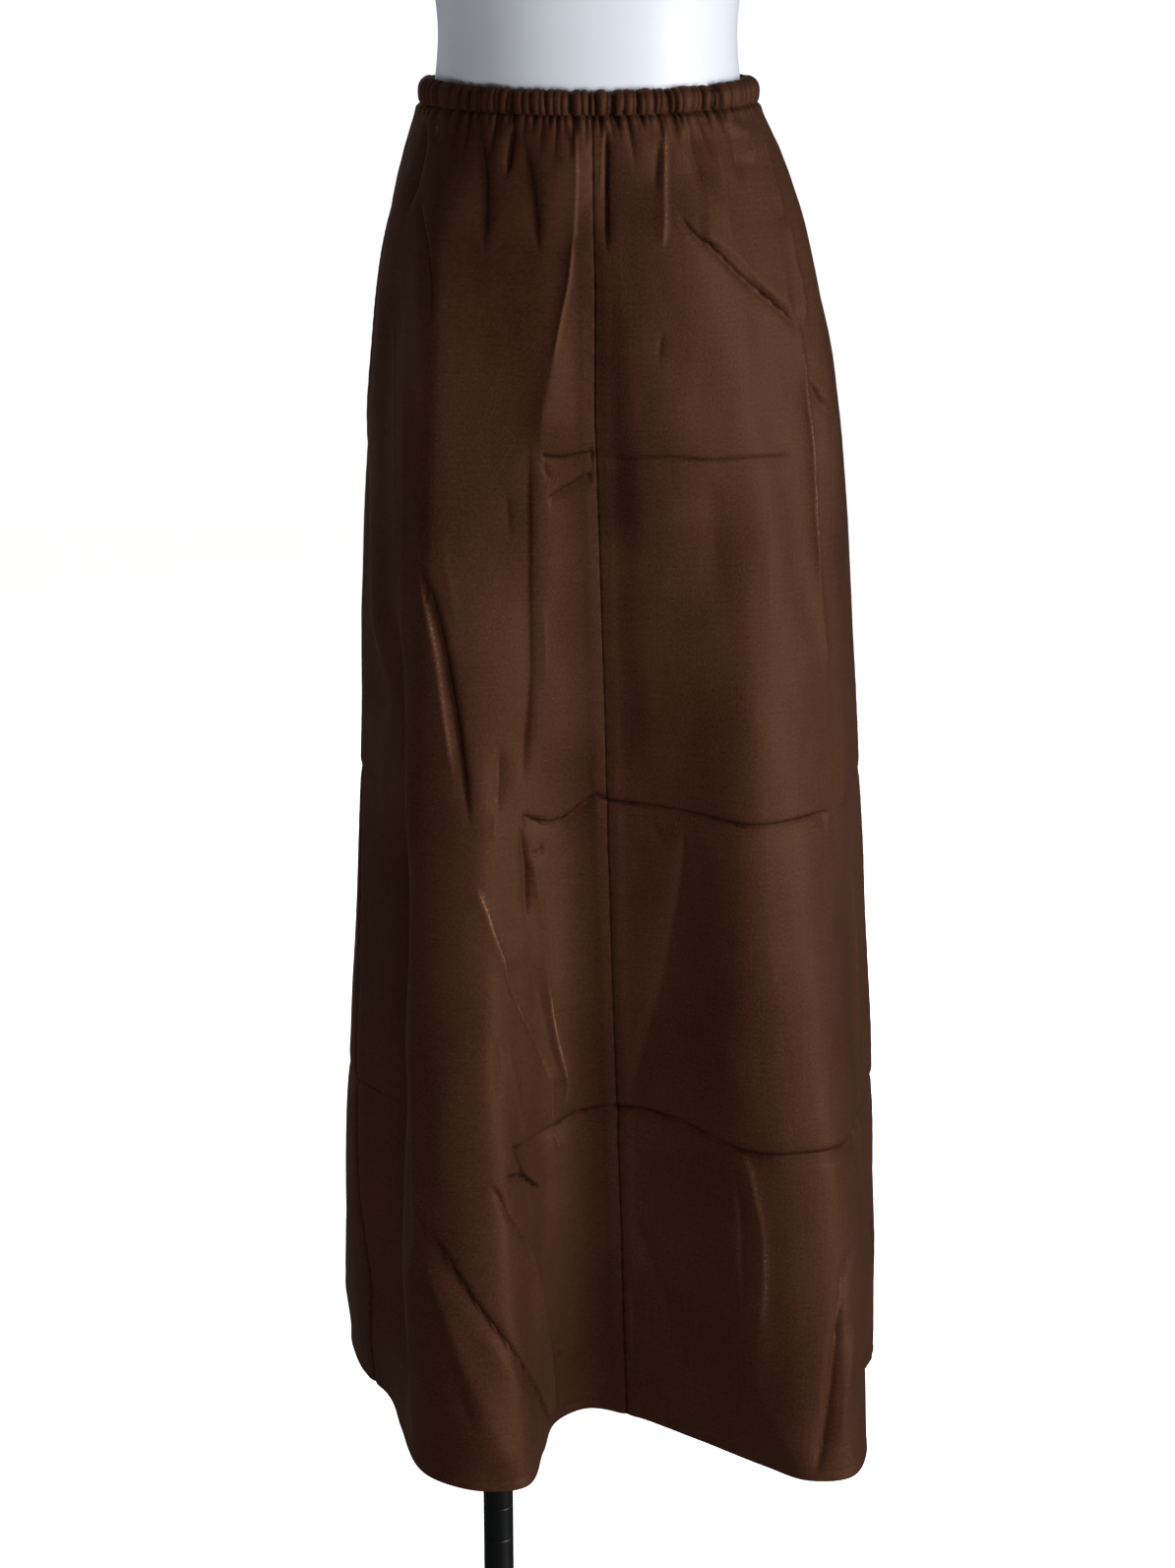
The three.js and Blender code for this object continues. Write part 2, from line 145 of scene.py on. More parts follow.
def ring(x, radius, height, segments):
    """Points of a level circle."""
    turn = np.linspace(0, 2 * np.pi, segments, endpoint=False)
    return np.column_stack([x + radius * np.cos(turn), radius * np.sin(turn), np.full(segments, height)])


def tube_faces(rings, segments):
    """Faces round a tube of closed rings, and the grid of its indices."""
    index = np.arange(rings * segments).reshape(rings, segments)
    right = np.roll(index, -1, axis=1)
    return quads(index[:-1], right[:-1], right[1:], index[1:]), index

# %% [markdown]
# ## Polyester satin
#
# The cloth is filament polyester in a satin weave, piece-dyed dark brown and pressed. Its long
# floats make it smooth: light spreads into broad, soft highlights, with a thin lift of sheen where
# the cloth turns away. Fine slubs run both ways as faint streaks, and the yarns give a fine grain.
# The yarn is 0.1 mm on the real cloth. Here the weave is 0.7 mm and the grain 1.5 mm, so that they
# still read at this size. A pressed fold's sharpest line is finer than the mesh, so its light is painted
# into the satin's colour: painted shade in a pressed furrow, in the gathers and along the seams, and
# a painted highlight on a pressed edge.

# %% Satin
# painted furrow shade, deep, middle, light and painted edge highlight
SATIN_STOPS = ((0.04, "120906"), (0.36, "351f16"), (0.53, "3d271d"), (0.72, "462f23"), (0.86, "785745"))
# pattern: size in mm, and how often it comes in that size around and down the cloth. The slubs
# come three times as often, by their noise's own scale
CLOTH_PATTERNS = {
    "warp_slubs": (9.0, 1.0, 0.12),
    "weft_slubs": (9.0, 0.1, 1.4),
    "yarns": (1.5, 1.0, 0.7),
    "weave": (0.7, 1.0, 1.0),
}
# What picks a colour from the stops: a start, and how much is added of each pattern and of the
# painted shade and highlight of the creases, gathers and seams
TONE_START = -0.34
TONE_WEIGHTS = {"slubs": 0.16, "yarns": 0.8, "patches": 0.5, "painted_shading": 0.45}
# Gives the wave textures one band for each unit of their coordinate
ONE_BAND = 0.314


def satin_material():
    material, shader = new_material("polyester_satin")
    place = add_node(material, "ShaderNodeUVMap", {"uv_map": "cloth"})
    solid = add_node(material, "ShaderNodeTexCoord")
    at = {
        name: add_node(
            material, "ShaderNodeMapping", values={"Scale": (around / size / MM, down / size / MM, 1.0)},
            links={"Vector": (place, "UV")})
        for name, (size, around, down) in CLOTH_PATTERNS.items()
    }
    patches = add_node(
        material, "ShaderNodeTexNoise", values={"Scale": 7.0, "Detail": 3.0, "Roughness": 0.55},
        links={"Vector": (solid, "Object")})
    yarns = add_node(
        material, "ShaderNodeTexNoise", values={"Scale": 1.0, "Detail": 3.0, "Roughness": 0.6},
        links={"Vector": (at["yarns"], "Vector")})
    streaks = [
        add_node(
            material, "ShaderNodeTexNoise", values={"Scale": 3.0, "Detail": 2.0},
            links={"Vector": (at[name], "Vector")})
        for name in ("warp_slubs", "weft_slubs")]
    slubs = add_node(
        material, "ShaderNodeMath", {"operation": "ADD"},
        links={side: (streak, "Fac") for side, streak in enumerate(streaks)})
    # Painted shade and painted highlight of the creases, gathers and seams, kept on the mesh
    painted_shading = add_node(material, "ShaderNodeAttribute", {"attribute_name": "painted_shading"})
    sources = {
        "slubs": (slubs, "Value"), "yarns": (yarns, "Fac"), "patches": (patches, "Fac"),
        "painted_shading": (painted_shading, "Fac"),
    }
    tone_so_far = {}
    for name, weight in TONE_WEIGHTS.items():
        tone = add_node(
            material, "ShaderNodeMath", {"operation": "MULTIPLY_ADD"},
            values={1: weight, 2: TONE_START}, links={0: sources[name], **tone_so_far})
        tone_so_far = {2: (tone, "Value")}
    ramp = add_node(material, "ShaderNodeValToRGB", links={"Fac": (tone, "Value")})
    set_stops(ramp, SATIN_STOPS)
    threads = [
        add_node(
            material, "ShaderNodeTexWave", {"wave_type": "BANDS", "bands_direction": axis},
            values={"Scale": ONE_BAND, "Distortion": 0.6, "Detail": 1.0},
            links={"Vector": (at["weave"], "Vector")})
        for axis in "XY"]
    weave = add_node(
        material, "ShaderNodeMath", {"operation": "MULTIPLY"},
        links={side: (thread, "Fac") for side, thread in enumerate(threads)})
    weave_bump = add_node(
        material, "ShaderNodeBump", values={"Strength": 0.3, "Distance": 0.00016},
        links={"Height": (weave, "Value")})
    slub_bump = add_node(
        material, "ShaderNodeBump", values={"Strength": 0.12, "Distance": 0.0004},
        links={"Height": (slubs, "Value"), "Normal": (weave_bump, "Normal")})
    gloss = add_node(
        material, "ShaderNodeMapRange", values={"To Min": 0.5, "To Max": 0.6},
        links={"Value": (patches, "Fac")})
    set_node(
        material, shader,
        values={
            "IOR": 1.5, "Specular IOR Level": 0.24, "Specular Tint": linear("f0b48c"),
            "Sheen Weight": 0.04, "Sheen Roughness": 0.45, "Sheen Tint": linear("b08a74"),
        },
        links={
            "Base Color": (ramp, "Color"), "Roughness": (gloss, "Result"),
            "Normal": (slub_bump, "Normal"),
        })
    return material


satin = satin_material()
print("satin nodes:", len(satin.node_tree.nodes))

# %% [markdown]
# ## Sewing thread
#
# Spun polyester thread, dyed to match. Twisted fibres scatter light, so it is duller than the satin
# and reads as a fine dotted line.

# %% Thread
def thread_material():
    material, shader = new_material("spun_polyester_thread")
    solid = add_node(material, "ShaderNodeTexCoord")
    fibres = add_node(
        material, "ShaderNodeTexNoise", values={"Scale": 2500.0, "Detail": 2.0},
        links={"Vector": (solid, "Object")})
    ramp = add_node(material, "ShaderNodeValToRGB", links={"Fac": (fibres, "Fac")})
    set_stops(ramp, ((0.0, "24130d"), (1.0, "4a2f24")))
    bump = add_node(
        material, "ShaderNodeBump", values={"Strength": 0.4, "Distance": 0.0001},
        links={"Height": (fibres, "Fac")})
    set_node(
        material, shader, values={"Roughness": 0.75},
        links={"Base Color": (ramp, "Color"), "Normal": (bump, "Normal")})
    return material


thread = thread_material()
print("thread nodes:", len(thread.node_tree.nodes))

# %% [markdown]
# ## The form's skin
#
# Glass-fibre reinforced resin, moulded, sanded and sprayed with satin white lacquer. The lacquer
# levels out almost flat, so highlights are wide with soft edges, and a faint orange peel breaks them.

# %% Form lacquer
def sprayed_material(name, colours, clouds, texture, bump, gloss):
    """A sprayed coat. Broad clouds vary its colour and gloss, a fine texture breaks its highlights.

    clouds and texture are a noise's scale and detail, bump its strength and height in metres.
    """
    material, shader = new_material(name)
    solid = add_node(material, "ShaderNodeTexCoord")
    broad, fine = [
        add_node(
            material, "ShaderNodeTexNoise", values={"Scale": scale, "Detail": detail},
            links={"Vector": (solid, "Object")})
        for scale, detail in (clouds, texture)]
    ramp = add_node(material, "ShaderNodeValToRGB", links={"Fac": (broad, "Fac")})
    set_stops(ramp, ((0.0, colours[0]), (1.0, colours[1])))
    relief = add_node(
        material, "ShaderNodeBump", values={"Strength": bump[0], "Distance": bump[1]},
        links={"Height": (fine, "Fac")})
    roughness = add_node(
        material, "ShaderNodeMapRange", values={"To Min": gloss[0], "To Max": gloss[1]},
        links={"Value": (broad, "Fac")})
    set_node(
        material, shader, values={"IOR": 1.5},
        links={
            "Base Color": (ramp, "Color"), "Roughness": (roughness, "Result"),
            "Normal": (relief, "Normal"),
        })
    return material


lacquer = sprayed_material(
    "white_satin_lacquer", colours=("c9d5e8", "dde7f5"), clouds=(4.0, 4.0), texture=(420.0, 2.0),
    bump=(0.06, 0.0002), gloss=(0.38, 0.5))
print("lacquer nodes:", len(lacquer.node_tree.nodes))

# %% [markdown]
# ## Black metal
#
# Steel tube and plate with a baked black powder coat. The coat has a fine texture, and broad clouds
# vary its colour and gloss a little, so it is near black with a grey-green cast and a soft, broken
# shine. It is sprayed too, so the same function makes it.

# %% Black metal
powder_coat = sprayed_material(
    "black_powder_coat", colours=("050708", "0e1213"), clouds=(12.0, 5.0), texture=(900.0, 2.0),
    bump=(0.25, 0.0002), gloss=(0.3, 0.5))
print("powder coat nodes:", len(powder_coat.node_tree.nodes))

# %% [markdown]
# ## The skirt's own sizes
#
# These are the tables of the solids' source. A level section has its reach to each side, and the
# hem line goes round through the folds and valleys that the hem shows. Left and right are the
# viewer's. The drop is measured down from the waistband's top.

# %% Tables
BAND_HEIGHT = 18.0
SIDE_RISE = {"most": 3.2, "reach": 150.0}
HEM_DROP = 1031.0
# Solids that touch on the real thing stand this far apart
SOLID_GAP = 0.3
FLARE_START = 225.0
FLARE_POWER = 1.12
# Below the hips the cloth hangs flatter across the front than an oval
FLAT_FRONT = {"most": 0.7, "from": 25.0, "over": 150.0}

# drop, left, right, front, back, the front seam's place
SECTIONS = np.array([
    (0, 122, 124, 95, 95, 2),
    (21, 124, 126, 97, 96, 3),
    (50, 133, 139, 103, 104, 4),
    (90, 144.5, 153.5, 108, 113, 4),
    (140, 154, 167, 112, 122, 5),
    (210, 161.5, 183, 114, 128, 5),
    (300, 168, 192, 113, 128, 6),
    (620, 181, 205, 112, 129, 7),
    (850, 190, 212, 112, 131, 8),
    (1031, 182, 208, 110, 130, 8),
], dtype=float)

# name, x, forward
HEM_POINTS = (
    ("front_seam", 31, 94),
    ("right_front_slope", 80, 128),
    ("right_front_slope_end", 134, 172),
    ("right_front_fold_start", 168, 195),
    ("right_front_fold", 202, 190),
    ("right_front_fold_end", 218, 150),
    ("right_side_valley", 212, 70),
    ("right_side_fold", 237, -20),
    ("right_side_fold_end", 208, -88),
    ("right_back_valley", 168, -118),
    ("right_back_fold", 142, -196),
    ("right_back_fold_end", 90, -190),
    ("middle_back_valley", 52, -138),
    ("left_back_fold_start", 6, -160),
    ("left_back_fold", -42, -214),
    ("left_back_fold_end", -88, -190),
    ("left_back_valley", -118, -128),
    ("left_side_fold_start", -168, -122),
    ("left_side_fold", -198, -60),
    ("left_side_fold_end", -186, 16),
    ("left_side_valley", -159, 66),
    ("left_front_fold_start", -147, 118),
    ("left_front_fold_out", -124, 186),
    ("left_front_fold", -82, 211),
    ("left_front_fold_in", -47, 204),
    ("left_front_wall", -34, 152),
    ("left_front_foot", -25, 106),
    ("front_recess", 0, 84),
)

# name, around, drop, end around, end drop, half width, height
SOFT_FOLDS = (
    ("ridge_beside_seam", -22, 30, -52, 330, 17, 3),
    ("trough_beside_seam", 8, 50, 8, 470, 26, -5),
    ("right_long_ridge", 176, 70, 212, 560, 18, 4),
    ("right_trough", 112, 60, 160, 380, 20, -4),
    ("left_ridge", -112, 60, -126, 400, 20, 4),
    ("left_trough", -160, 150, -196, 640, 18, -4),
    ("left_valley", -204, 420, -318, 1000, 36, -12),
    ("right_slope_crest", 104, 420, 114, 960, 34, 6),
    ("back_middle_ridge", 372, 40, 420, 360, 20, 5),
    ("back_right_trough", 300, 50, 330, 420, 20, -5),
    ("back_left_ridge", -262, 60, -296, 430, 20, 5),
    ("back_left_trough", -214, 80, -232, 460, 18, -4),
)
FOLD_END_FADE = 70.0

# rise above the waistband's top, half width, front, back, shift to the right
FORM_SECTIONS = np.array([
    (-248, 118, 62, 68, 4), (-243, 134, 78, 86, 5), (-228, 145, 90, 98, 7), (-200, 151, 98, 106, 9),
    (-150, 150, 101, 112, 8), (-100, 140, 98, 106, 5), (-55, 125.5, 92, 96, 2), (-21, 115, 87.6, 88.6, 0),
    (0, 110.6, 84.6, 85.6, 0), (40, 108, 81, 83, 0), (85, 114, 86, 84, 0), (130, 124, 93, 86, 0),
    (176, 133, 97, 90, 0), (225, 137, 92, 94, 0), (270, 144, 82, 92, 0), (306, 152, 71, 84, 0),
    (334, 151, 62, 75, 0), (354, 137, 56, 66, 0), (369, 110, 52, 60, 0), (385, 79, 48, 56, 0),
    (404, 59, 46, 53, 0), (430, 52, 45, 51, 0), (458, 50, 44, 50, 0), (466, 46, 40, 46, 0),
], dtype=float)

# %% [markdown]
# ## The hanging surface
#
# Each level of the skirt is a smooth closed line. It starts as the section's oval and is pushed out
# towards the hem line as the flare opens. A cloth piece is cut from it between two shares of the
# way round, from the front seam towards the right.

# %% Surface
# Points of a closed line between two of its places, and of an oval in all
SPAN_SAMPLES = 24
OVAL_SAMPLES = 720


def smooth_step(value):
    held = np.clip(value, 0.0, 1.0)
    return held * held * (3 - 2 * held)


def side_rise(turns, drops):
    """How much higher the cloth is than level: the waist rises at the sides. Rows by columns."""
    fade = 1 - smooth_step((drops - BAND_HEIGHT) / SIDE_RISE["reach"])
    return SIDE_RISE["most"] * fade[:, None] * np.sin(turns)[None, :] ** 2


def read_table(rows, column, at):
    """The table's column at a place between its rows, on a smooth curve through them."""
    key, values = rows[:, 0], rows[:, column]
    if at <= key[0]:
        return values[0]
    if at >= key[-1]:
        return values[-1]
    after = int(np.searchsorted(key, at))
    before = after - 1
    span = key[after] - key[before]

    def slope(low, high):
        return (values[high] - values[low]) / (key[high] - key[low])

    slope_in = slope(max(after - 2, 0), after)
    slope_out = slope(before, min(after + 1, len(key) - 1))
    share = (at - key[before]) / span
    rest = 1 - share
    chord = values[after] - values[before]
    bend = rest * (slope_in * span - chord) + share * (chord - slope_out * span)
    return rest * values[before] + share * values[after] + share * rest * bend


def section_at(rows, at):
    """All that a table's row says after its first column, at a place between its rows."""
    return [read_table(rows, column, at) for column in range(1, rows.shape[1])]


def smooth_closed_line(points):
    """A centripetal curve through a closed line of points."""
    before, here = np.roll(points, 1, axis=0), points
    after, beyond = np.roll(points, -1, axis=0), np.roll(points, -2, axis=0)

    def step(a, b):
        return np.sqrt(np.linalg.norm(b - a, axis=1))[:, None]

    first, middle, last = step(before, here), step(here, after), step(after, beyond)
    leave = (here - before) / first - (after - before) / (first + middle) + (after - here) / middle
    arrive = (after - here) / middle - (beyond - here) / (middle + last) + (beyond - after) / last
    leave, arrive = leave * middle, arrive * middle
    t = np.linspace(0, 1, SPAN_SAMPLES, endpoint=False)[None, :, None]
    here, after, leave, arrive = (part[:, None, :] for part in (here, after, leave, arrive))
    curve = ((2 * t**3 - 3 * t**2 + 1) * here + (t**3 - 2 * t**2 + t) * leave
             + (3 * t**2 - 2 * t**3) * after + (t**3 - t**2) * arrive)
    return curve.reshape(-1, points.shape[1])


def running_lengths(line):
    closed = np.vstack([line, line[:1]])
    return np.concatenate([[0.0], np.cumsum(np.linalg.norm(np.diff(closed, axis=0), axis=1))])


def at_shares(line, lengths, shares):
    closed = np.vstack([line, line[:1]])
    along = (np.asarray(shares) % 1.0) * lengths[-1]
    return np.stack([np.interp(along, lengths, closed[:, axis]) for axis in (0, 1)], axis=-1)


def side_oval(left, right, front, back, samples, square=2.0):
    """An oval with its own reach to each side. Its front is flatter where square is over two."""
    turn = np.linspace(0, 2 * np.pi, samples, endpoint=False)
    sine, cosine = np.sin(turn), np.cos(turn)
    power = np.where(cosine > 0, 2.0 / square, 1.0)
    x = np.where(sine > 0, right, left) * np.sign(sine) * np.abs(sine) ** power
    y = -np.where(cosine > 0, front, back) * np.sign(cosine) * np.abs(cosine) ** power
    return np.stack([x, y], axis=-1)


def oval_at_hem_shares(drop):
    left, right, front, back, seam = section_at(SECTIONS, drop)
    square = 2.0 + FLAT_FRONT["most"] * smooth_step((drop - FLAT_FRONT["from"]) / FLAT_FRONT["over"])
    line = side_oval(left, right, front, back, OVAL_SAMPLES, square)
    lengths = running_lengths(line)
    seam_sample = math.asin((seam / right) ** (square / 2)) / (2 * math.pi) * OVAL_SAMPLES
    seam_length = np.interp(seam_sample, np.arange(OVAL_SAMPLES + 1), lengths)
    return at_shares(line, lengths, HEM_SHARES + seam_length / lengths[-1])


HEM_TARGETS = np.array([(x, -forward) for _, x, forward in HEM_POINTS], dtype=float)
hem_lengths = running_lengths(smooth_closed_line(HEM_TARGETS))
HEM_SHARES = hem_lengths[::SPAN_SAMPLES][:len(HEM_TARGETS)] / hem_lengths[-1]
HEM_OFFSETS = HEM_TARGETS - oval_at_hem_shares(HEM_DROP)


def hanging_line(drop):
    opened = max(0.0, (drop - FLARE_START) / (HEM_DROP - FLARE_START)) ** FLARE_POWER
    line = smooth_closed_line(oval_at_hem_shares(drop) + HEM_OFFSETS * opened)
    return line, running_lengths(line)


print("hem round:", round(hem_lengths[-1]), "mm")

# %% [markdown]
# ## Gathers
#
# The band's elastic draws about nine hundred millimetres of cloth into seven hundred. It does so in
# uneven nips: sharp creases with round puffs between them. Each nip runs through the band and on
# down the skirt as a furrow that widens and dies out, most within a few centimetres. Those across
# the front have the places that the photograph shows, in millimetres from the middle.

# %% Gathers
NIPS_ACROSS_FRONT = (
    -119, -116, -113, -109, -107, -99, -93, -90, -85, -79, -76, -71, -66, -63, -58, -54, -46, -40, -34,
    -29, -24, -19, -13, -11, -4, 1, 6, 13, 16, 18, 25, 31, 35, 40, 47, 50, 55, 58, 62, 66, 73, 76, 81,
    88, 90, 94, 101, 104, 110, 113, 117, 120,
)
NIPS_BEHIND = 54
# The nips behind lie between these shares of the way round, with uneven steps
BEHIND = {"from": 0.24, "over": 0.52, "least_step": 0.5, "most_step": 1.5}
# least, spread over it, and power of a draw from nought to one
NIP_RANGES = {
    "depth": (1.5, 3.6, 1.3),
    "width": (1.0, 0.8, 1.0),
    "top": (0.35, 0.75, 1.0),
    "slant": (-0.09, 0.18, 1.0),
    "reach": (8.0, 34.0, 3.0),
    "spread": (0.035, 0.075, 1.0),
}
# A nip's furrow below the band: it fades out past its reach, and is a little shallower lower down
FURROW = {"fade": 1.3, "swell": 0.2, "swell_over": 9.0, "power": 1.15}
# All nips are whole at the stitch line, and come to their own strength over this height
STITCH_LINE_PULL = 5.0
BAND_WAVE = {"height": 0.3, "turns": 19, "shift": 1.0}
BAND_REACH = 122.5
BAND_OVAL = side_oval(BAND_REACH, BAND_REACH, 96, 95.5, OVAL_SAMPLES)
BAND_LENGTHS = running_lengths(BAND_OVAL)
BAND_ROUND = BAND_LENGTHS[-1]


def oval_share(turns):
    """The share of the way round the band at an angle from the middle of the front."""
    angles = np.linspace(0, 2 * np.pi, OVAL_SAMPLES + 1)
    return np.interp(np.asarray(turns) % (2 * np.pi), angles, BAND_LENGTHS) / BAND_ROUND


def share_apart(shares, share):
    """How far shares lie to the right of a share of the way round, the shorter way."""
    return (shares - share + 0.5) % 1.0 - 0.5


nip_dice = np.random.default_rng(23)
front_shares = oval_share([math.asin(x / BAND_REACH) for x in NIPS_ACROSS_FRONT])
behind_steps = nip_dice.uniform(BEHIND["least_step"], BEHIND["most_step"], NIPS_BEHIND + 1)
behind_shares = BEHIND["from"] + BEHIND["over"] * np.cumsum(behind_steps)[:-1] / behind_steps.sum()
NIP_SHARES = np.concatenate([front_shares, behind_shares])
nips = {
    name: least + spread * nip_dice.random(len(NIP_SHARES)) ** power
    for name, (least, spread, power) in NIP_RANGES.items()
}
NIPS = [dict(zip(("share", *nips), row)) for row in zip(NIP_SHARES, *nips.values())]
print("nips:", len(NIPS), "in", round(BAND_ROUND), "mm of band")


def nip_lift(shares, up):
    """Nips through the band at a height above its stitch line, with fine puckers at that line."""
    lift = np.zeros_like(shares)
    seam_side = math.exp(-up / STITCH_LINE_PULL)
    for nip in NIPS:
        away = share_apart(shares, nip["share"]) * BAND_ROUND + nip["slant"] * up
        strength = seam_side + (1 - seam_side) * nip["top"]
        lift -= nip["depth"] * strength * np.exp(-np.abs(away) / nip["width"])
    return lift + BAND_WAVE["height"] * np.sin(2 * np.pi * BAND_WAVE["turns"] * shares + BAND_WAVE["shift"])


def gather_lift(shares, drops, rounds):
    """The nips' furrows below the band. shares is one row, drops and rounds are one column."""
    lift = np.zeros((len(drops), len(shares)))
    below = (drops - BAND_HEIGHT)[:, None]
    for nip in NIPS:
        end = FURROW["fade"] * nip["reach"]
        near = np.flatnonzero(below[:, 0] < end)
        under = below[near]
        away = share_apart(shares[None, :], nip["share"]) * rounds[near, None]
        away += nip["slant"] * np.minimum(under, nip["reach"])
        width = nip["width"] + nip["spread"] * under
        fade = 1 - smooth_step(under / end)
        swell = 1 - FURROW["swell"] * smooth_step(under / FURROW["swell_over"])
        lift[near] -= nip["depth"] * swell * fade * np.exp(-(np.abs(away) / width) ** FURROW["power"])
    return lift

# %% [markdown]
# ## Creases
#
# The rest is placed one by one, in the cloth's own sizes. Around is the distance from the front seam
# along the cloth, to the right. A crease runs through its places in one smooth line and fades at
# both ends. Its two half widths may differ, which makes one flank steep and the other soft: on an
# upright crease they lie to the left and right of it, on a level one below and above. Level ones
# are the marks of folding in a packet. Those in front follow the photograph. Those behind are of
# the same kinds.

# %% Crease tables
# A row: name, half width left or below, half width right or above, height, share of the length over
# which each end fades, and places as (around, drop)

# Upper front: the seam's ridge, and furrows and ridges that hang from the waistband
UPPER_FRONT = (
    ("seam_ridge_top", 9, 2.2, 1.7, 0.12, ((-12, 21), (-12, 63), (-14, 105))),
    ("seam_ridge_low", 8, 24, 4.6, 0.16,
     ((-13, 89), (-18, 129), (-24, 157), (-30, 191), (-36, 221), (-40, 253))),
    ("seam_ridge_line", 1.6, 1.2, 1.4, 0.2, ((-14, 95), (-18, 129), (-24, 157), (-30, 191))),
    ("furrow_left_of_ridge", 6, 4, -1.6, 0.3, ((-19, 21), (-17, 33), (-16, 49))),
    ("deep_nip", 2.6, 1.6, -5.0, 0.3, ((-54, 21), (-58, 37), (-62, 61))),
    ("furrow_behind_nip", 10, 4, -3.6, 0.35, ((-49, 33), (-42, 75), (-38, 115))),
    ("left_furrow", 9, 4, -4.0, 0.3, ((-86, 21), (-80, 51), (-77, 113))),
    ("left_tick", 3, 4.4, -2.6, 0.35, ((-123, 21), (-125, 43))),
    ("left_side_crack", 5, 1.9, -3.8, 0.25, ((-136, 75), (-120, 113), (-113, 161))),
    ("left_side_pleat", 8, 3.6, -4.4, 0.3, ((-140, 23), (-139, 51), (-150, 93))),
    ("right_of_seam_line", 1.0, 1.2, 0.5, 0.25, ((8, 21), (6, 45), (5, 73))),
    ("dark_band_top", 6, 2.6, -4.2, 0.25, ((10, 21), (9, 65), (9, 113))),
    ("dark_band_crest", 24, 80, 10.5, 0.16, ((13, 59), (19, 119), (28, 205), (33, 259), (33, 337))),
    ("dark_band_foot", 28, 60, 4.5, 0.3, ((30, 295), (33, 381), (37, 441), (39, 501))),
    ("bright_nip_line", 7, 1.8, 2.8, 0.2, ((52, 21), (51, 43), (50, 63), (49, 85), (47, 109))),
    ("furrow_left_of_nip", 7, 4, -2.2, 0.35, ((48, 31), (45, 53), (44, 73))),
    ("short_furrow", 4, 3, -1.2, 0.45, ((47, 161), (44, 189))),
    ("right_furrow_one", 5, 9, -3.6, 0.35, ((70, 21), (73, 45), (81, 73))),
    ("right_ridge_two", 8, 4.4, 3.2, 0.35, ((85, 23), (91, 41), (96, 87), (100, 107))),
    ("right_furrow_two", 5, 9, -3.4, 0.35, ((104, 23), (110, 43), (114, 69))),
    ("right_ridge_three", 7, 4.0, 3.2, 0.3, ((117, 23), (124, 41), (127, 57))),
    ("side_ridge_top", 10, 2.0, 3.0, 0.25, ((134, 21), (141, 45), (145, 65), (154, 95))),
    ("side_ridge_upper", 9, 1.8, 3.2, 0.2, ((153, 87), (157, 119), (162, 141), (163, 169))),
    ("side_ridge_bright", 10, 1.7, 3.8, 0.12,
     ((156, 159), (160, 211), (164, 259), (166, 301), (171, 345), (175, 389), (178, 433))),
    ("side_ridge_line", 3, 1.6, 1.4, 0.2, ((157, 201), (164, 259), (166, 301), (172, 359))),
)
# Pressed diagonals near the right hip
RIGHT_HIP = (
    ("hip_diagonal_crest", 4.5, 20, 2.2, 0.12, ((72, 97), (92, 107), (108, 119), (123, 135), (154, 155))),
    ("hip_diagonal_line", 3.0, 2.2, -2.6, 0.1,
     ((57, 83), (70, 99), (85, 111), (100, 125), (123, 143), (155, 167))),
    ("hip_tick_upper", 1.8, 1.8, -0.9, 0.4, ((154, 177), (160, 187))),
    ("hip_tick_lower", 1.8, 1.8, -0.8, 0.4, ((159, 185), (161, 195))),
    ("hip_end_line", 2.2, 1.8, -1.6, 0.3, ((161, 203), (177, 227), (189, 237))),
    ("hip_end_lip", 1.8, 9, 1.2, 0.3, ((163, 201), (180, 223), (190, 231))),
)
# Level marks of packet folds, with their small hooks
LEVEL_MARKS = (
    ("mark_one_left", 7, 1.8, -2.6, 0.06, ((-39, 253), (-25, 255), (-11, 253), (-1, 251))),
    ("mark_one_hook", 2, 2, -1.3, 0.3, ((-40, 253), (-36, 265), (-31, 271))),
    ("mark_one_under", 4, 1.8, -2.2, 0.12, ((-37, 285), (-26, 279), (-11, 271), (-2, 267))),
    ("mark_one_right", 9, 1.9, -1.7, 0.1,
     ((5, 256), (28, 255), (52, 254), (82, 257), (110, 257), (150, 259))),
    ("mark_two", 8, 2.0, -3.7, 0.03,
     ((-69, 521), (-55, 527), (-43, 531), (-31, 528), (-20, 519), (-9, 511), (2, 514), (18, 515),
      (47, 517), (78, 519), (104, 522), (122, 523), (154, 522), (183, 525))),
    ("mark_two_hook", 2.4, 1.8, -1.6, 0.2, ((-61, 551), (-56, 553), (-49, 547))),
    ("mark_three", 8, 2.4, -5.2, 0.02,
     ((-115, 771), (-97, 777), (-72, 779), (-51, 778), (-37, 773), (-21, 768), (3, 763), (19, 762),
      (45, 764), (69, 769), (93, 774), (114, 776), (134, 775), (156, 774), (182, 775), (212, 777),
      (244, 781))),
    ("lip_of_mark_three", 5, 5, 0.9, 0.25, ((107, 785), (134, 783), (165, 783), (205, 788))),
    ("hem_tick", 2, 1.8, -0.8, 0.35, ((-71, 975), (-61, 975), (-50, 975))),
)
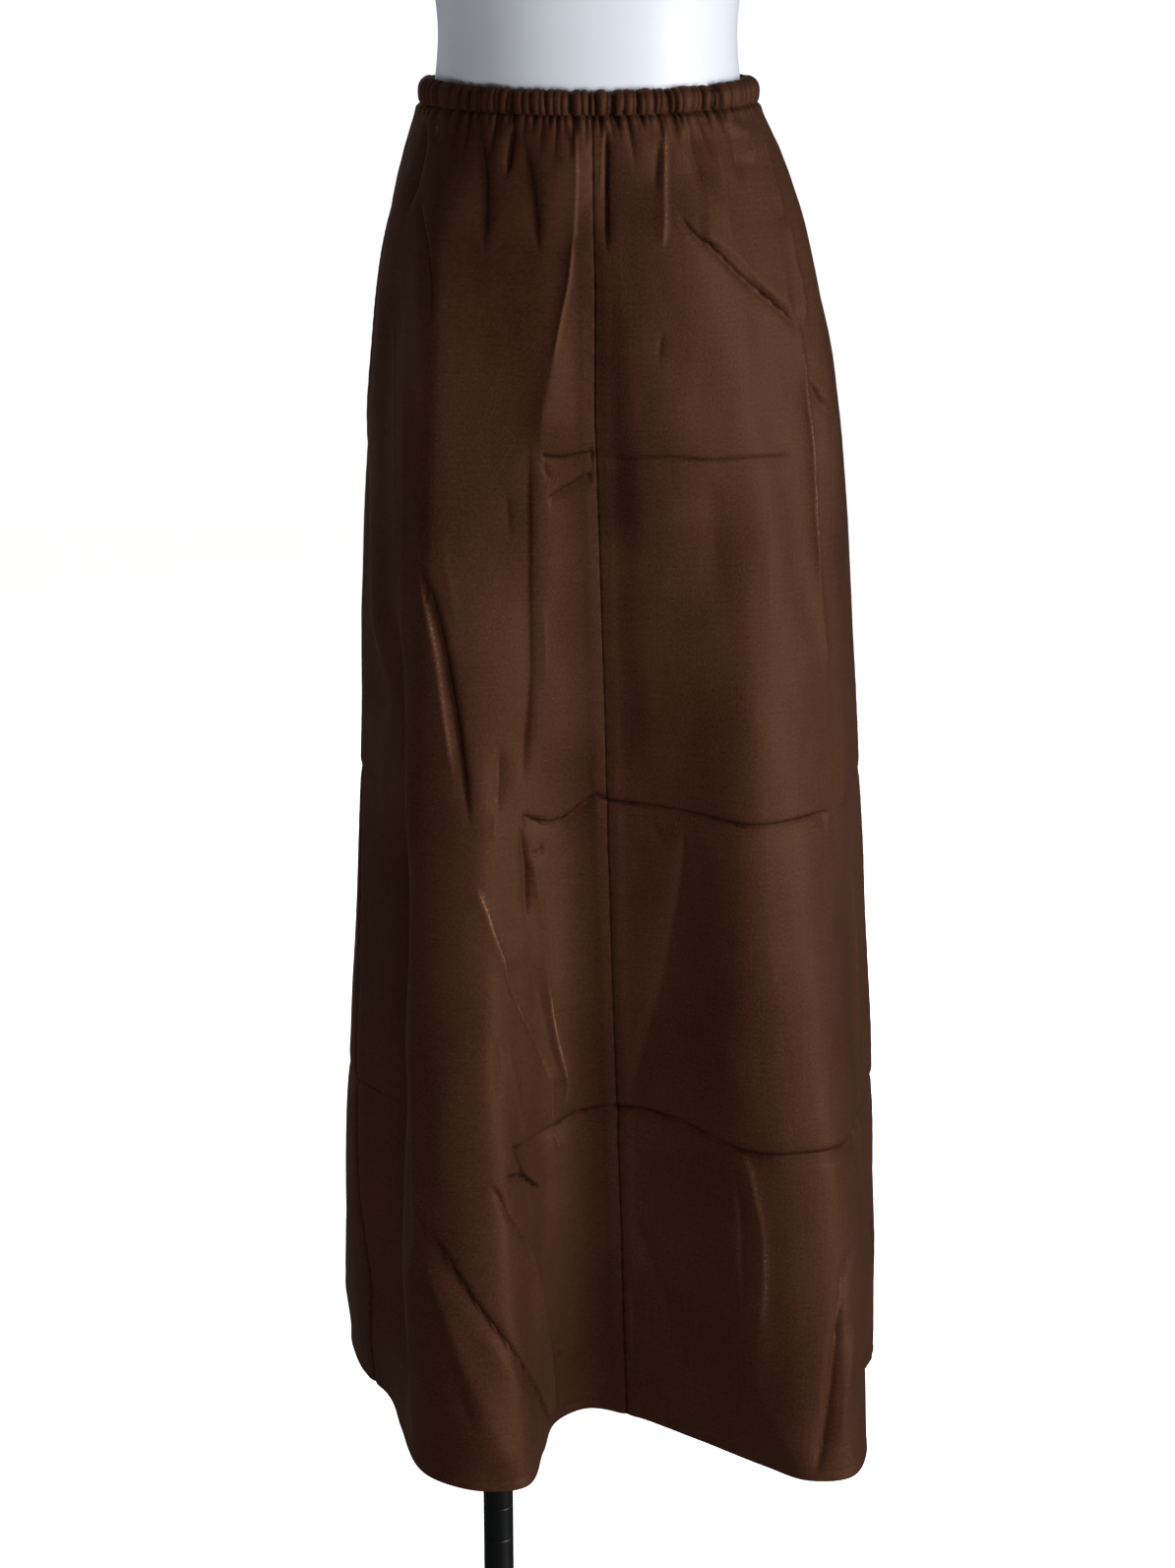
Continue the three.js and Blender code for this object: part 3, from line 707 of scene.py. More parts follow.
# Left of the seam: the turning line at the side valley, the crescent and the crossing ridges
LEFT_FRONT = (
    ("outer_line", 1.8, 1.8, 0.7, 0.2, ((-165, 153), (-160, 217), (-161, 301))),
    ("turning_line_upper", 4, 1.8, 1.2, 0.1,
     ((-143, 211), (-145, 285), (-149, 357), (-154, 429), (-161, 515))),
    ("turning_line_lower", 4, 1.8, 1.4, 0.1,
     ((-157, 485), (-176, 623), (-197, 745), (-220, 845), (-240, 903))),
    ("turning_line_hem", 4, 4, 1.6, 0.2, ((-219, 837), (-240, 903), (-259, 961), (-278, 1021))),
    ("left_face_turn", 22, 72, 8.0, 0.3,
     ((-107, 61), (-106, 141), (-108, 233), (-116, 325), (-126, 425), (-136, 511))),
    ("left_face_turn_low", 20, 44, 3.6, 0.3, ((-155, 673), (-162, 731), (-171, 777), (-180, 821))),
    ("crescent", 12, 2.6, -5.6, 0.2,
     ((-134, 315), (-128, 333), (-120, 355), (-115, 381), (-112, 417), (-110, 451), (-109, 487),
      (-109, 529))),
    ("crescent_edge", 6, 2.2, 2.2, 0.2,
     ((-134, 325), (-130, 339), (-125, 361), (-121, 389), (-120, 423), (-119, 459), (-118, 495))),
    ("faint_ridge", 5, 4, 0.8, 0.4, ((-110, 309), (-107, 345), (-104, 381))),
    ("dark_beside_strip", 12, 5.2, -3.8, 0.15,
     ((-47, 237), (-49, 281), (-52, 353), (-55, 425), (-61, 469), (-64, 499))),
    ("strip_edge", 6, 26, 2.6, 0.16,
     ((-47, 255), (-47, 295), (-50, 353), (-53, 425), (-56, 459), (-61, 501))),
    ("strip_line", 2, 2, 0.6, 0.3, ((-42, 359), (-42, 389), (-44, 427))),
    ("dark_wedge", 4, 5, -3.4, 0.3, ((-80, 465), (-82, 489), (-87, 521))),
    ("wedge_bright_tip", 3, 1.6, 1.2, 0.3, ((-89, 513), (-90, 525), (-93, 537))),
    ("small_soft_furrow", 6, 4, -1.4, 0.4, ((-65, 277), (-64, 315))),
    ("soft_dark_valley", 5, 4, -4.2, 0.3, ((-69, 523), (-66, 557), (-70, 609))),
    ("first_ridge_bright", 7, 1.4, 2.8, 0.18, ((-111, 567), (-107, 581), (-101, 611), (-92, 641))),
    ("first_ridge_dark", 1.8, 10, -3.4, 0.15, ((-97, 623), (-79, 677), (-63, 707), (-52, 739))),
    ("second_ridge", 6, 10, 2.6, 0.15, ((-61, 545), (-59, 573), (-55, 605), (-54, 641), (-50, 681))),
    ("second_ridge_low", 7, 1.8, 3.2, 0.15, ((-53, 659), (-46, 705), (-42, 725), (-38, 747))),
    ("second_ridge_foot", 2, 2, 1.4, 0.25, ((-38, 739), (-40, 753), (-43, 765))),
    ("between_ridges", 9, 5, -2.2, 0.3, ((-73, 613), (-61, 663), (-51, 707), (-44, 741))),
    ("first_ridge_foot", 1.8, 2, -1.3, 0.3, ((-52, 733), (-52, 757), (-53, 781))),
    ("third_ridge", 5, 1.8, 1.2, 0.2, ((-102, 689), (-101, 711), (-99, 729), (-95, 757), (-95, 777))),
    ("third_furrow", 6, 4, -1.6, 0.35, ((-115, 679), (-116, 709), (-121, 739))),
    ("side_valley_upper", 30, 18, -12.0, 0.3, ((-168, 350), (-184, 477), (-200, 600))),
    ("side_valley_middle", 42, 20, -27.0, 0.25, ((-188, 520), (-212, 640), (-246, 770))),
    ("side_valley_lower", 46, 24, -31.0, 0.2, ((-226, 700), (-268, 819), (-322, 945), (-340, 1000))),
)
# Lower left: the crumple, the sweep and the facet under it
LEFT_HEM = (
    ("crumple_edge", 1.6, 8, 2.6, 0.18, ((-112, 773), (-108, 783), (-102, 795), (-89, 809), (-75, 821))),
    ("crumple_dark", 4, 2.4, -3.6, 0.2, ((-128, 789), (-104, 799), (-75, 821))),
    ("crumple_tip", 2.4, 1.6, 1.8, 0.3, ((-53, 779), (-50, 787), (-49, 799))),
    ("edge_crease_upper", 3, 2, -2.0, 0.2,
     ((-141, 789), (-136, 801), (-131, 819), (-122, 835), (-103, 859))),
    ("edge_crease_bright", 14, 1.8, 4.2, 0.12,
     ((-104, 849), (-99, 879), (-93, 903), (-88, 927), (-78, 959), (-76, 987), (-79, 1031))),
    ("edge_shadow", 4, 9, -1.4, 0.3, ((-82, 837), (-70, 893), (-66, 947))),
    ("sweep", 11, 2.6, -3.6, 0.1,
     ((-211, 815), (-206, 827), (-192, 843), (-182, 861), (-173, 881), (-163, 901), (-152, 923),
      (-139, 945), (-114, 977), (-81, 1029))),
    ("sweep_lip", 12, 5, 0.8, 0.25, ((-200, 857), (-183, 889), (-165, 923), (-149, 957), (-120, 997))),
    ("facet_ridge", 22, 14, 4.6, 0.15,
     ((-207, 849), (-203, 871), (-200, 887), (-197, 901), (-194, 921), (-190, 941), (-186, 961),
      (-183, 993), (-181, 1025))),
    ("facet_furrow", 16, 8, -3.0, 0.3, ((-216, 859), (-212, 893), (-204, 929), (-200, 959), (-195, 995))),
    ("hem_glow", 9, 9, 1.2, 0.4, ((-143, 967), (-142, 985), (-137, 1005))),
)
# Right of the seam: the broad slope, its foot and the furrow by the edge
RIGHT_FRONT = (
    ("soft_band_two", 16, 22, -3.4, 0.35, ((82, 259), (85, 323), (88, 381))),
    ("slope_crest_upper", 34, 26, 3.0, 0.3, ((99, 295), (101, 381), (101, 467), (101, 525))),
    ("slope_crest", 48, 26, 4.6, 0.2,
     ((101, 453), (102, 525), (102, 601), (101, 677), (103, 739), (105, 773))),
    ("slope_foot_edge", 26, 4, 2.2, 0.1,
     ((104, 775), (113, 787), (119, 805), (125, 829), (128, 853), (129, 885), (128, 913))),
    ("slope_foot_edge_low", 26, 14, 2.6, 0.2,
     ((128, 893), (126, 929), (125, 955), (131, 977), (143, 993), (154, 1011), (159, 1031))),
    ("slope_inner_fold", 4, 5, -1.4, 0.3, ((102, 783), (108, 825), (111, 873), (113, 905))),
    ("slope_left_crease", 5.4, 30, -3.2, 0.15,
     ((60, 525), (57, 559), (50, 599), (42, 639), (31, 681), (21, 713), (12, 747))),
    ("slope_left_top", 5, 5, -1.0, 0.35, ((30, 525), (38, 535), (44, 547))),
    ("seam_triangle_edge", 7, 26, -3.8, 0.25, ((11, 853), (19, 873), (26, 895), (36, 923), (43, 963))),
    ("seam_side_dark", 2, 3, -1.0, 0.3, ((8, 901), (8, 943), (7, 985))),
    ("edge_furrow_top", 2.6, 3, -3.6, 0.2, ((237, 847), (204, 861), (191, 889), (187, 927))),
    ("edge_furrow_low", 5, 5.5, -6.0, 0.2, ((191, 893), (187, 927), (184, 967), (181, 997), (176, 1031))),
    ("edge_furrow_lip", 5, 7, 1.8, 0.25, ((208, 905), (203, 935), (199, 955), (192, 1011))),
    ("face_streak_one", 6, 6, 0.7, 0.4, ((125, 261), (124, 311), (123, 381))),
    ("face_streak_two", 8, 6, 0.8, 0.4, ((176, 389), (180, 447), (183, 507))),
    ("hem_spot", 10, 6, -1.0, 0.4, ((-7, 987), (-8, 1005), (-8, 1019))),
)
# Back: the same kinds of marks on the side that the photograph hides
BACK = (
    ("back_furrow_one", 10, 8, -5.4, 0.3, ((330, 4), (344, 127), (352, 250))),
    ("back_ridge_one", 6, 12, 5.1, 0.25, ((352, 4), (364, 107), (380, 210))),
    ("back_furrow_two", 8, 8, -4.5, 0.35, ((262, 4), (283, 92), (300, 180))),
    ("back_ridge_two", 6, 9, 4.2, 0.35, ((236, 4), (251, 82), (262, 160))),
    ("back_ridge_three", 9, 6, 5.8, 0.25, ((-290, 4), (-307, 167), (-330, 330))),
    ("back_furrow_three", 9, 8, -4.8, 0.3, ((-270, 4), (-282, 122), (-296, 240))),
    ("back_furrow_four", 8, 8, -4.2, 0.35, ((-226, 4), (-229, 102), (-236, 200))),
    ("back_ridge_four", 8, 6, 4.2, 0.3, ((-204, 60), (-211, 180), (-214, 300))),
    ("back_diagonal", 8, 3, -2.4, 0.12, ((-250, 92), (-300, 136), (-352, 176))),
    ("back_mark_one_left", 8, 2.4, -1.8, 0.1, ((-440, 256), (-385, 254), (-330, 253))),
    ("back_mark_one_right", 8, 2.4, -1.8, 0.12, ((300, 251), (365, 253), (430, 258))),
    ("back_mark_two", 9, 2.4, -1.5, 0.06, ((192, 526), (290, 519), (380, 525), (470, 523))),
    ("back_mark_two_left", 9, 2.4, -1.5, 0.06, ((-500, 522), (-415, 515), (-330, 516), (-240, 521))),
    ("back_mark_three", 10, 2.4, -3.0, 0.05, ((252, 782), (330, 777), (425, 768), (520, 770))),
    ("back_mark_three_mid", 10, 2.4, -2.9, 0.06, ((516, 770), (578, 778), (640, 778))),
    ("back_mark_three_left", 10, 2.4, -2.9, 0.05, ((-640, 776), (-520, 769), (-400, 770), (-300, 775))),
    ("back_crescent", 4, 8, 5.4, 0.2, ((452, 330), (474, 444), (486, 560))),
    ("back_long_ridge", 5, 12, 6.1, 0.2, ((420, 560), (449, 664), (470, 770))),
    ("back_long_furrow", 14, 8, -5.4, 0.3, ((520, 600), (542, 750), (560, 900))),
    ("back_sweep", 6, 12, -6.4, 0.15, ((640, 820), (605, 927), (560, 1030))),
    ("back_sweep_lip", 10, 8, 4.8, 0.2, ((628, 840), (595, 939), (552, 1034))),
    ("back_left_long_ridge", 12, 5, 5.4, 0.2, ((-540, 540), (-567, 661), (-600, 780))),
    ("back_left_sweep", 12, 6, -6.1, 0.15, ((-620, 840), (-574, 937), (-520, 1030))),
    ("back_left_furrow", 8, 14, -4.8, 0.3, ((-430, 560), (-440, 730), (-450, 900))),
    ("back_left_facet", 6, 14, 5.4, 0.2, ((-470, 800), (-483, 915), (-500, 1030))),
    ("right_side_ridge", 8, 14, 4.8, 0.25, ((250, 560), (273, 785), (290, 1010))),
    ("right_back_furrow", 14, 8, -4.8, 0.3, ((360, 620), (372, 810), (380, 1000))),
)
CREASES = (*UPPER_FRONT, *RIGHT_HIP, *LEVEL_MARKS, *LEFT_FRONT, *LEFT_HEM, *RIGHT_FRONT, *BACK)
print("hand-placed creases:", len(CREASES))

# %% [markdown]
# ## Adding up the creases
#
# Each crease lifts or lowers the cloth along its outward side. One with a narrow flank has a sharp
# line that thins at its ends, and a painted line in the satin's colour: painted shade for some and a
# painted highlight for others, by its height and which flank is narrow. A broad one is round.

# %% Crease lift
# A narrow flank's lift falls off with the power given, a broad one's with the square
SHARP = {"from": 2.0, "over": 22.0, "power": 1.1, "end_width": 0.45}
# A crease is left out of the rows further from it than this many half widths
CREASE_REACH = 3.5
# Painted shade and highlight lines show from a flank this narrow, at full strength from this height
# up. The gathers and the seams get painted shade too, a seam where it dips to within its depth given here
PAINTED_SHADING = {"narrowest_broad": 5.0, "full": 3.0, "half_width": 1.5, "gathers": 0.2, "seam": 0.7,
           "seam_depth": 0.45}


def smooth_through(keys, values, at):
    """A smooth line through values at rising keys, and its slope."""
    slopes = np.gradient(values, keys)
    after = np.clip(np.searchsorted(keys, at), 1, len(keys) - 1)
    before = after - 1
    span = keys[after] - keys[before]
    t = np.clip((at - keys[before]) / span, 0.0, 1.0)
    rest = 1 - t
    line = (values[before] * (1 + 2 * t) * rest**2 + slopes[before] * span * t * rest**2
            + values[after] * (1 + 2 * rest) * t**2 - slopes[after] * span * rest * t**2)
    return line, np.interp(at, keys, slopes)


def crease_places(path, across, down):
    """Distances from a crease to the right of it or above it, and shares of the way along it."""
    wide, tall = np.ptp(path, axis=0)
    along, over = (1, 0) if tall > wide else (0, 1)
    at = down if along == 1 else across
    keys = path[:, along]
    line, slope = smooth_through(keys, path[:, over], at)
    apart = across - line if along == 1 else line - down
    return apart / np.hypot(1, slope), (at - keys[0]) / (keys[-1] - keys[0])


def painted_shading_line(away, left, right, height):
    """The painted line of a crease with a narrow flank: under nought for painted shade, over it for a
    painted highlight.
    """
    narrow = min(left, right)
    side = np.sign(left - right)
    depth = min(1.0, abs(height) / PAINTED_SHADING["full"])
    depth *= (1 - narrow / PAINTED_SHADING["narrowest_broad"]) ** 0.5
    on_line = (away - side * narrow * 0.5) / PAINTED_SHADING["half_width"]
    return (side or 1) * np.sign(height) * depth * np.exp(-on_line**2)


def crease_lift(around, drops, rounds):
    """Lift and painted shade and highlight lines. around is a grid in mm, drops and rounds are one value a
    row.
    """
    lift, painted_shading = np.zeros_like(around), np.zeros_like(around)
    for _, left, right, height, fade, places in CREASES:
        path = np.array(places, dtype=float)
        reach = CREASE_REACH * max(left, right)
        rows = np.flatnonzero((drops > path[:, 1].min() - reach) & (drops < path[:, 1].max() + reach))
        if len(rows) == 0:
            continue
        middle = path[:, 0].mean()
        wrap = rounds[rows][:, None]
        across = around[rows] - middle
        across = across - wrap * np.round(across / wrap)
        path[:, 0] -= middle
        away, share = crease_places(path, across, drops[rows][:, None])
        ends = smooth_step(share / fade) * smooth_step((1 - share) / fade)
        round_part = smooth_step((min(left, right) - SHARP["from"]) / SHARP["over"])
        power = SHARP["power"] + (2 - SHARP["power"]) * round_part
        end_width = SHARP["end_width"] + (1 - SHARP["end_width"]) * round_part
        width = np.where(away > 0, right, left) * (end_width + (1 - end_width) * ends)
        lift[rows] += height * ends * np.exp(-((np.abs(away) / width) ** power))
        # A crease with a narrow flank also paints a line into the satin's colour: shade for a dark line, a
        # highlight for a bright one
        if min(left, right) < PAINTED_SHADING["narrowest_broad"]:
            painted_shading[rows] += ends * painted_shading_line(away, left, right, height)
    return lift, painted_shading

# %% [markdown]
# ## Broad folds and unevenness
#
# The solids' broad folds are raised here by the same table. A little slow unevenness is added, which
# keeps the plain stretches from looking machined.

# %% Broad folds and unevenness
def soft_fold_lift(around, drops, rounds):
    lift = np.zeros_like(around)
    down = drops[:, None]
    for _, start, drop, end, end_drop, half, height in SOFT_FOLDS:
        share = np.clip((down - drop) / (end_drop - drop), 0.0, 1.0)
        apart = around - (start + share * (end - start))
        across = (apart - rounds[:, None] * np.round(apart / rounds[:, None])) / half
        fade_in = smooth_step((down - drop) / FOLD_END_FADE + 0.5)
        fade_out = smooth_step((end_drop - down) / FOLD_END_FADE + 0.5)
        lift += height * np.exp(-across**2) * fade_in * fade_out
    return lift


# wave length around, wave length down, height
UNEVENNESS = ((81, 273, 0.30), (47, 218, 0.12), (23, 131, 0.05))
# In radians, how far the waves sway to the side on their way down
UNEVEN_SWAY = 2.2
MEAN_ROUND = 1100


def uneven_lift(shares, drops):
    """Slow waves that close on themselves round the skirt."""
    lift = np.zeros((len(drops), len(shares)))
    dice = np.random.default_rng(5)
    for wave_around, wave_down, height in UNEVENNESS:
        turns = round(MEAN_ROUND / wave_around)
        shift, sway = dice.uniform(0, 2 * np.pi, 2)
        phase = 2 * np.pi * turns * shares[None, :] + shift
        bend = UNEVEN_SWAY * np.sin(2 * np.pi * drops[:, None] / wave_down + sway)
        lift += height * np.sin(phase + bend)
    return lift

# %% [markdown]
# ## Seams and hem
#
# The front seam and the two side seams are pressed open. Each dips inwards a little and draws up in
# small puckers, and the allowances behind it lift the cloth on both sides. The hem's stitches pull a
# shallow step into the cloth, and it is fuller below them.

# %% Seams and hem
# Where the seams lie, as shares of the way round: front, right side, left side, front again
SEAM_SHARES = (0.0, 0.25, 0.75, 1.0)
HEM_DEPTH = 7.0
# How a seam dips, how the cloth beside it stands up, and how its stitches draw it into puckers
SEAM = {"dip": 1.0, "dip_width": 1.5, "lip": 0.45, "lip_at": 7.5, "lip_width": 4.0}
PUCKER = {"height": 0.22, "length": 17.0, "reach": 6.0, "sway": 1.7, "sway_length": 41.0}
HEM_STEP = {"dip": 0.35, "width": 1.1, "fullness": 0.25, "over": 3.0}


def bell(away, width):
    return np.exp(-(away / width) ** 2)


def seam_lift(shares, drops, rounds):
    """The dip and puckers beside each seam."""
    lift = np.zeros((len(drops), len(shares)))
    down = drops[:, None]
    sway = PUCKER["sway"] * np.sin(down / PUCKER["sway_length"])
    pucker = PUCKER["height"] * np.sin(2 * np.pi * down / PUCKER["length"] + sway)
    for seam in SEAM_SHARES[:3]:
        away = share_apart(shares[None, :], seam) * rounds[:, None]
        lift -= SEAM["dip"] * np.exp(-np.abs(away) / SEAM["dip_width"])
        lift += pucker * bell(away, PUCKER["reach"])
        lift += SEAM["lip"] * bell(np.abs(away) - SEAM["lip_at"], SEAM["lip_width"])
    return lift


def hem_lift(drops):
    """A shallow step where the hem's stitches pull, and the hem's own fullness below it."""
    above_edge = HEM_DROP - drops
    step = -HEM_STEP["dip"] * bell(above_edge - HEM_DEPTH, HEM_STEP["width"])
    fullness = HEM_STEP["fullness"] * smooth_step((HEM_DEPTH - above_edge) / HEM_STEP["over"])
    return (step + fullness)[:, None]


print("seams:", len(SEAM_SHARES) - 1)

# %% [markdown]
# ## The dressed surface
#
# All lifts are added to the hanging lines, along their outward direction. The top edge is tucked in
# under the casing, and the cloth lies on the form where a furrow would reach it.

# %% Dressed surface
# The top edge is this far in under the casing, and the cloth comes out over the next millimetres
TUCK = {"depth": 2.9, "from": 0.8, "over": 4.0}
# Folds and creases come to their full height over this drop below the band
FOLDS_FREE_OVER = 16.0
# The outer side of the cloth stays this far from the form, and meets that limit softly
CLEAR_OF_FORM = 2.4
SOFT_LIMIT = 0.3
# A line's direction is measured over this share of the way round, to each side
DIRECTION_SHARE = 0.0006


def clear_of_form(points, outward, drops):
    """Moves cloth out where a furrow would reach the form. It then lies on it, softly."""
    for row, drop in enumerate(drops):
        if drop > -FORM_SECTIONS[0, 0] + CLEAR_OF_FORM:
            break
        half, front, back_reach, shift = section_at(FORM_SECTIONS, -drop)
        depth_reach = np.where(points[row, :, 1] < 0, front, back_reach)
        scale = np.hypot((points[row, :, 0] - shift) / half, points[row, :, 1] / depth_reach)
        distance = np.linalg.norm(points[row], axis=1) * (1 - 1 / scale)
        short = CLEAR_OF_FORM - distance
        push = 0.5 * (short + np.sqrt(short**2 + SOFT_LIMIT))
        points[row] += outward[row] * push[:, None]
    return points


def skirt_surface(shares, drops):
    """Outer points, outward directions, places around and painted shade and highlight lines, each rows by
    columns.
    """
    base, outward, rounds = [], [], []
    for drop in drops:
        line, lengths = hanging_line(drop)
        before, here, after = (
            at_shares(line, lengths, shares + step) for step in (-DIRECTION_SHARE, 0.0, DIRECTION_SHARE))
        along = after - before
        along /= np.linalg.norm(along, axis=1)[:, None]
        base.append(here)
        outward.append(np.stack([along[:, 1], -along[:, 0]], axis=-1))
        rounds.append(lengths[-1])
    base, outward, rounds = np.array(base), np.array(outward), np.array(rounds)
    around = shares[None, :] * rounds[:, None]
    below = drops - BAND_HEIGHT
    freed = smooth_step(below / FOLDS_FREE_OVER)[:, None]
    tucked = TUCK["depth"] * (1 - smooth_step((below + TUCK["from"]) / TUCK["over"]))[:, None]
    creases, painted_shading = crease_lift(around, drops, rounds)
    gathers = gather_lift(shares, drops, rounds)
    seams = seam_lift(shares, drops, rounds)
    lift = (freed * (soft_fold_lift(around, drops, rounds) + creases)
            + gathers + uneven_lift(shares, drops) + seams + hem_lift(drops) - tucked)
    # Painted shade where a seam dips and in the gathers' furrows, added to the creases' painted lines
    seam_shade_mask = bell(seams + SEAM["dip"], PAINTED_SHADING["seam_depth"])
    painted_shading = np.clip(painted_shading * freed + PAINTED_SHADING["gathers"] * gathers - PAINTED_SHADING["seam"] * seam_shade_mask, -1.0, 1.0)
    return clear_of_form(base + outward * lift[..., None], outward, drops), outward, around, painted_shading

# %% [markdown]
# ## Panels
#
# Three panels are cut: two fronts that meet in the middle seam, and one back. Each is a thin shell.
# At the bottom the cloth is turned up twice and stitched, so the last seven millimetres are thicker.
# Rows stand closer where the gathers and the level marks are, and columns at the front seam.

# %% Panels
CLOTH_THICKNESS = 0.9
HEM_THICKNESS = 2.0
# Panels stand this far apart where they are sewn, so that the seam reads as closed
SEWN_GAP = 0.06
# The inner wall has one row for so many outer rows
INNER_EVERY = 4
PANEL_COLUMNS = 224
# The columns at a front seam stand closer, by this share of the even step
CLOSEST = 0.7
# from drop, to drop, spacing of the rows
ROW_BANDS = (
    (16.2, 21.2, 1.0), (21.2, 60, 1.7), (60, 176, 2.1), (176, 244, 3.6), (244, 288, 1.7), (288, 500, 4.8),
    (500, 560, 1.7), (560, 752, 4.5), (752, 824, 1.6), (824, 1016, 4.2), (1016, 1031, 1.25),
)


def row_drops():
    rows = []
    for start, end, spacing in ROW_BANDS:
        count = max(1, round((end - start) / spacing))
        rows.extend(np.linspace(start, end, count, endpoint=False))
    rows.append(HEM_DROP)
    return np.array(rows)


def shell_faces(rows, columns, inner_rows):
    """Faces of a thin sheet. The inner wall has fewer rows, and the side edges join the two."""
    inner_start = rows * columns
    outer = np.arange(rows * columns).reshape(rows, columns)
    inner = inner_start + np.arange(len(inner_rows) * columns).reshape(len(inner_rows), columns)
    faces = quads(outer[:-1, :-1], outer[1:, :-1], outer[1:, 1:], outer[:-1, 1:])
    faces += quads(inner[:-1, :-1], inner[:-1, 1:], inner[1:, 1:], inner[1:, :-1])
    faces += quads(outer[0, :-1], outer[0, 1:], inner[0, 1:], inner[0, :-1])
    faces += quads(outer[-1, :-1], inner[-1, :-1], inner[-1, 1:], outer[-1, 1:])
    for index in range(len(inner_rows) - 1):
        first, last = inner_rows[index], inner_rows[index + 1]
        left_side = [int(outer[row, 0]) for row in range(first, last + 1)]
        right_side = [int(outer[row, -1]) for row in range(first, last + 1)]
        faces.append([int(inner[index, 0]), int(inner[index + 1, 0])] + left_side[::-1])
        faces.append(right_side + [int(inner[index + 1, -1]), int(inner[index, -1])])
    return faces


def store_painted_shading(piece, values):
    """Keeps for the satin the painted shade of a furrow's line, below nought, or the painted highlight of a
    ridge's.
    """
    layer = piece.data.attributes.new("painted_shading", "FLOAT", "POINT")
    layer.data.foreach_set("value", np.asarray(values, dtype=np.float32))


def column_shares(first_share, last_share, columns):
    """Columns stand closer at a front seam, where the creases are finest."""
    even = np.linspace(0.0, 1.0, columns)
    if first_share == 0.0:
        even = CLOSEST * even + (1 - CLOSEST) * even**2
    elif last_share == 1.0:
        even = 1 - (CLOSEST * (1 - even) + (1 - CLOSEST) * (1 - even) ** 2)
    return first_share + (last_share - first_share) * even


def cloth_panel(name, first_share, last_share, columns=PANEL_COLUMNS):
    drops = row_drops()
    shares = column_shares(first_share, last_share, columns)
    outer, outward, around, painted_shading = skirt_surface(shares, drops)
    along = np.stack([-outward[..., 1], outward[..., 0]], axis=-1)
    outer[:, 0] += along[:, 0] * SEWN_GAP / 2
    outer[:, -1] -= along[:, -1] * SEWN_GAP / 2
    heights = (BAND_TOP - drops)[:, None] + side_rise(2 * np.pi * shares, drops)
    above_edge = HEM_DROP - drops
    thick = CLOTH_THICKNESS + (HEM_THICKNESS - CLOTH_THICKNESS) * (above_edge < HEM_DEPTH)
    inner = outer - outward * thick[:, None, None]
    inner_rows = sorted(set(range(0, len(drops), INNER_EVERY)) | {len(drops) - 1})
    outer_points = np.concatenate([outer, heights[..., None]], axis=-1).reshape(-1, 3)
    inner_points = np.concatenate([inner, heights[..., None]], axis=-1)[inner_rows].reshape(-1, 3)
    flat_uv = np.stack([around, heights], axis=-1) * MM
    uv = np.concatenate([flat_uv.reshape(-1, 2), flat_uv[inner_rows].reshape(-1, 2)])
    faces = shell_faces(len(drops), columns, inner_rows)
    piece = mesh_object(name, np.concatenate([outer_points, inner_points]), faces, satin, uv)
    # The satin's painted shade and highlight, on both walls
    store_painted_shading(piece, np.concatenate([painted_shading.ravel(), painted_shading[inner_rows].ravel()]))
    print(name, len(drops), "rows", columns, "columns", triangles(piece), "triangles")
    return piece


front_right = cloth_panel("skirt_front_right", *SEAM_SHARES[0:2])
back = cloth_panel("skirt_back", *SEAM_SHARES[1:3])
front_left = cloth_panel("skirt_front_left", *SEAM_SHARES[2:4])

# %% [markdown]
# ## The dress form
#
# Its sections are read from the hips up to the neck. The bust is two soft mounds. The mould's shape
# is carried on smoothly above and below the cloth.

# %% Dress form
BUST = {"up": 176, "tall": 44, "apart": 54, "wide": 40, "forward": 20, "blend": 2}
FORM_COLUMNS = 144
FORM_ROW_MM = 6.0


def bust_forward(x, rise):
    up_share = (rise - BUST["up"]) / BUST["tall"]
    mounds = sum(np.exp(-((x - side * BUST["apart"]) / BUST["wide"]) ** 2) for side in (-1, 1))
    return BUST["forward"] * mounds * math.exp(-up_share**2)


def dress_form():
    rises = []
    for low, high in zip(FORM_SECTIONS[:-1, 0], FORM_SECTIONS[1:, 0]):
        count = max(2, round((high - low) / FORM_ROW_MM))
        rises.extend(np.linspace(low, high, count, endpoint=False))
    rises.append(FORM_SECTIONS[-1, 0])
    points = []
    for rise in rises:
        half, front, back_reach, shift = section_at(FORM_SECTIONS, rise)
        line = side_oval(half, half, front, back_reach, FORM_COLUMNS)
        frontness = np.clip(-BUST["blend"] * line[:, 1] / front, 0, 1)
        bust = bust_forward(line[:, 0], rise) * frontness
        height = np.full(FORM_COLUMNS, BAND_TOP + rise)
        points.append(np.column_stack([line[:, 0] + shift, line[:, 1] - bust, height]))
    faces, index = tube_faces(len(rises), FORM_COLUMNS)
    faces.append(index[0, ::-1].tolist())
    faces.append(index[-1].tolist())
    piece = mesh_object("form_body", np.concatenate(points), faces, lacquer)
    print("form", triangles(piece), "triangles")
    return piece


form_body = dress_form()

# %% [markdown]
# ## The waistband
#
# A strip is folded over the elastic and caught in the waist seam. It puffs out round between the
# nips and is flat against the form inside. It is a folded wall, open inside where the elastic runs.

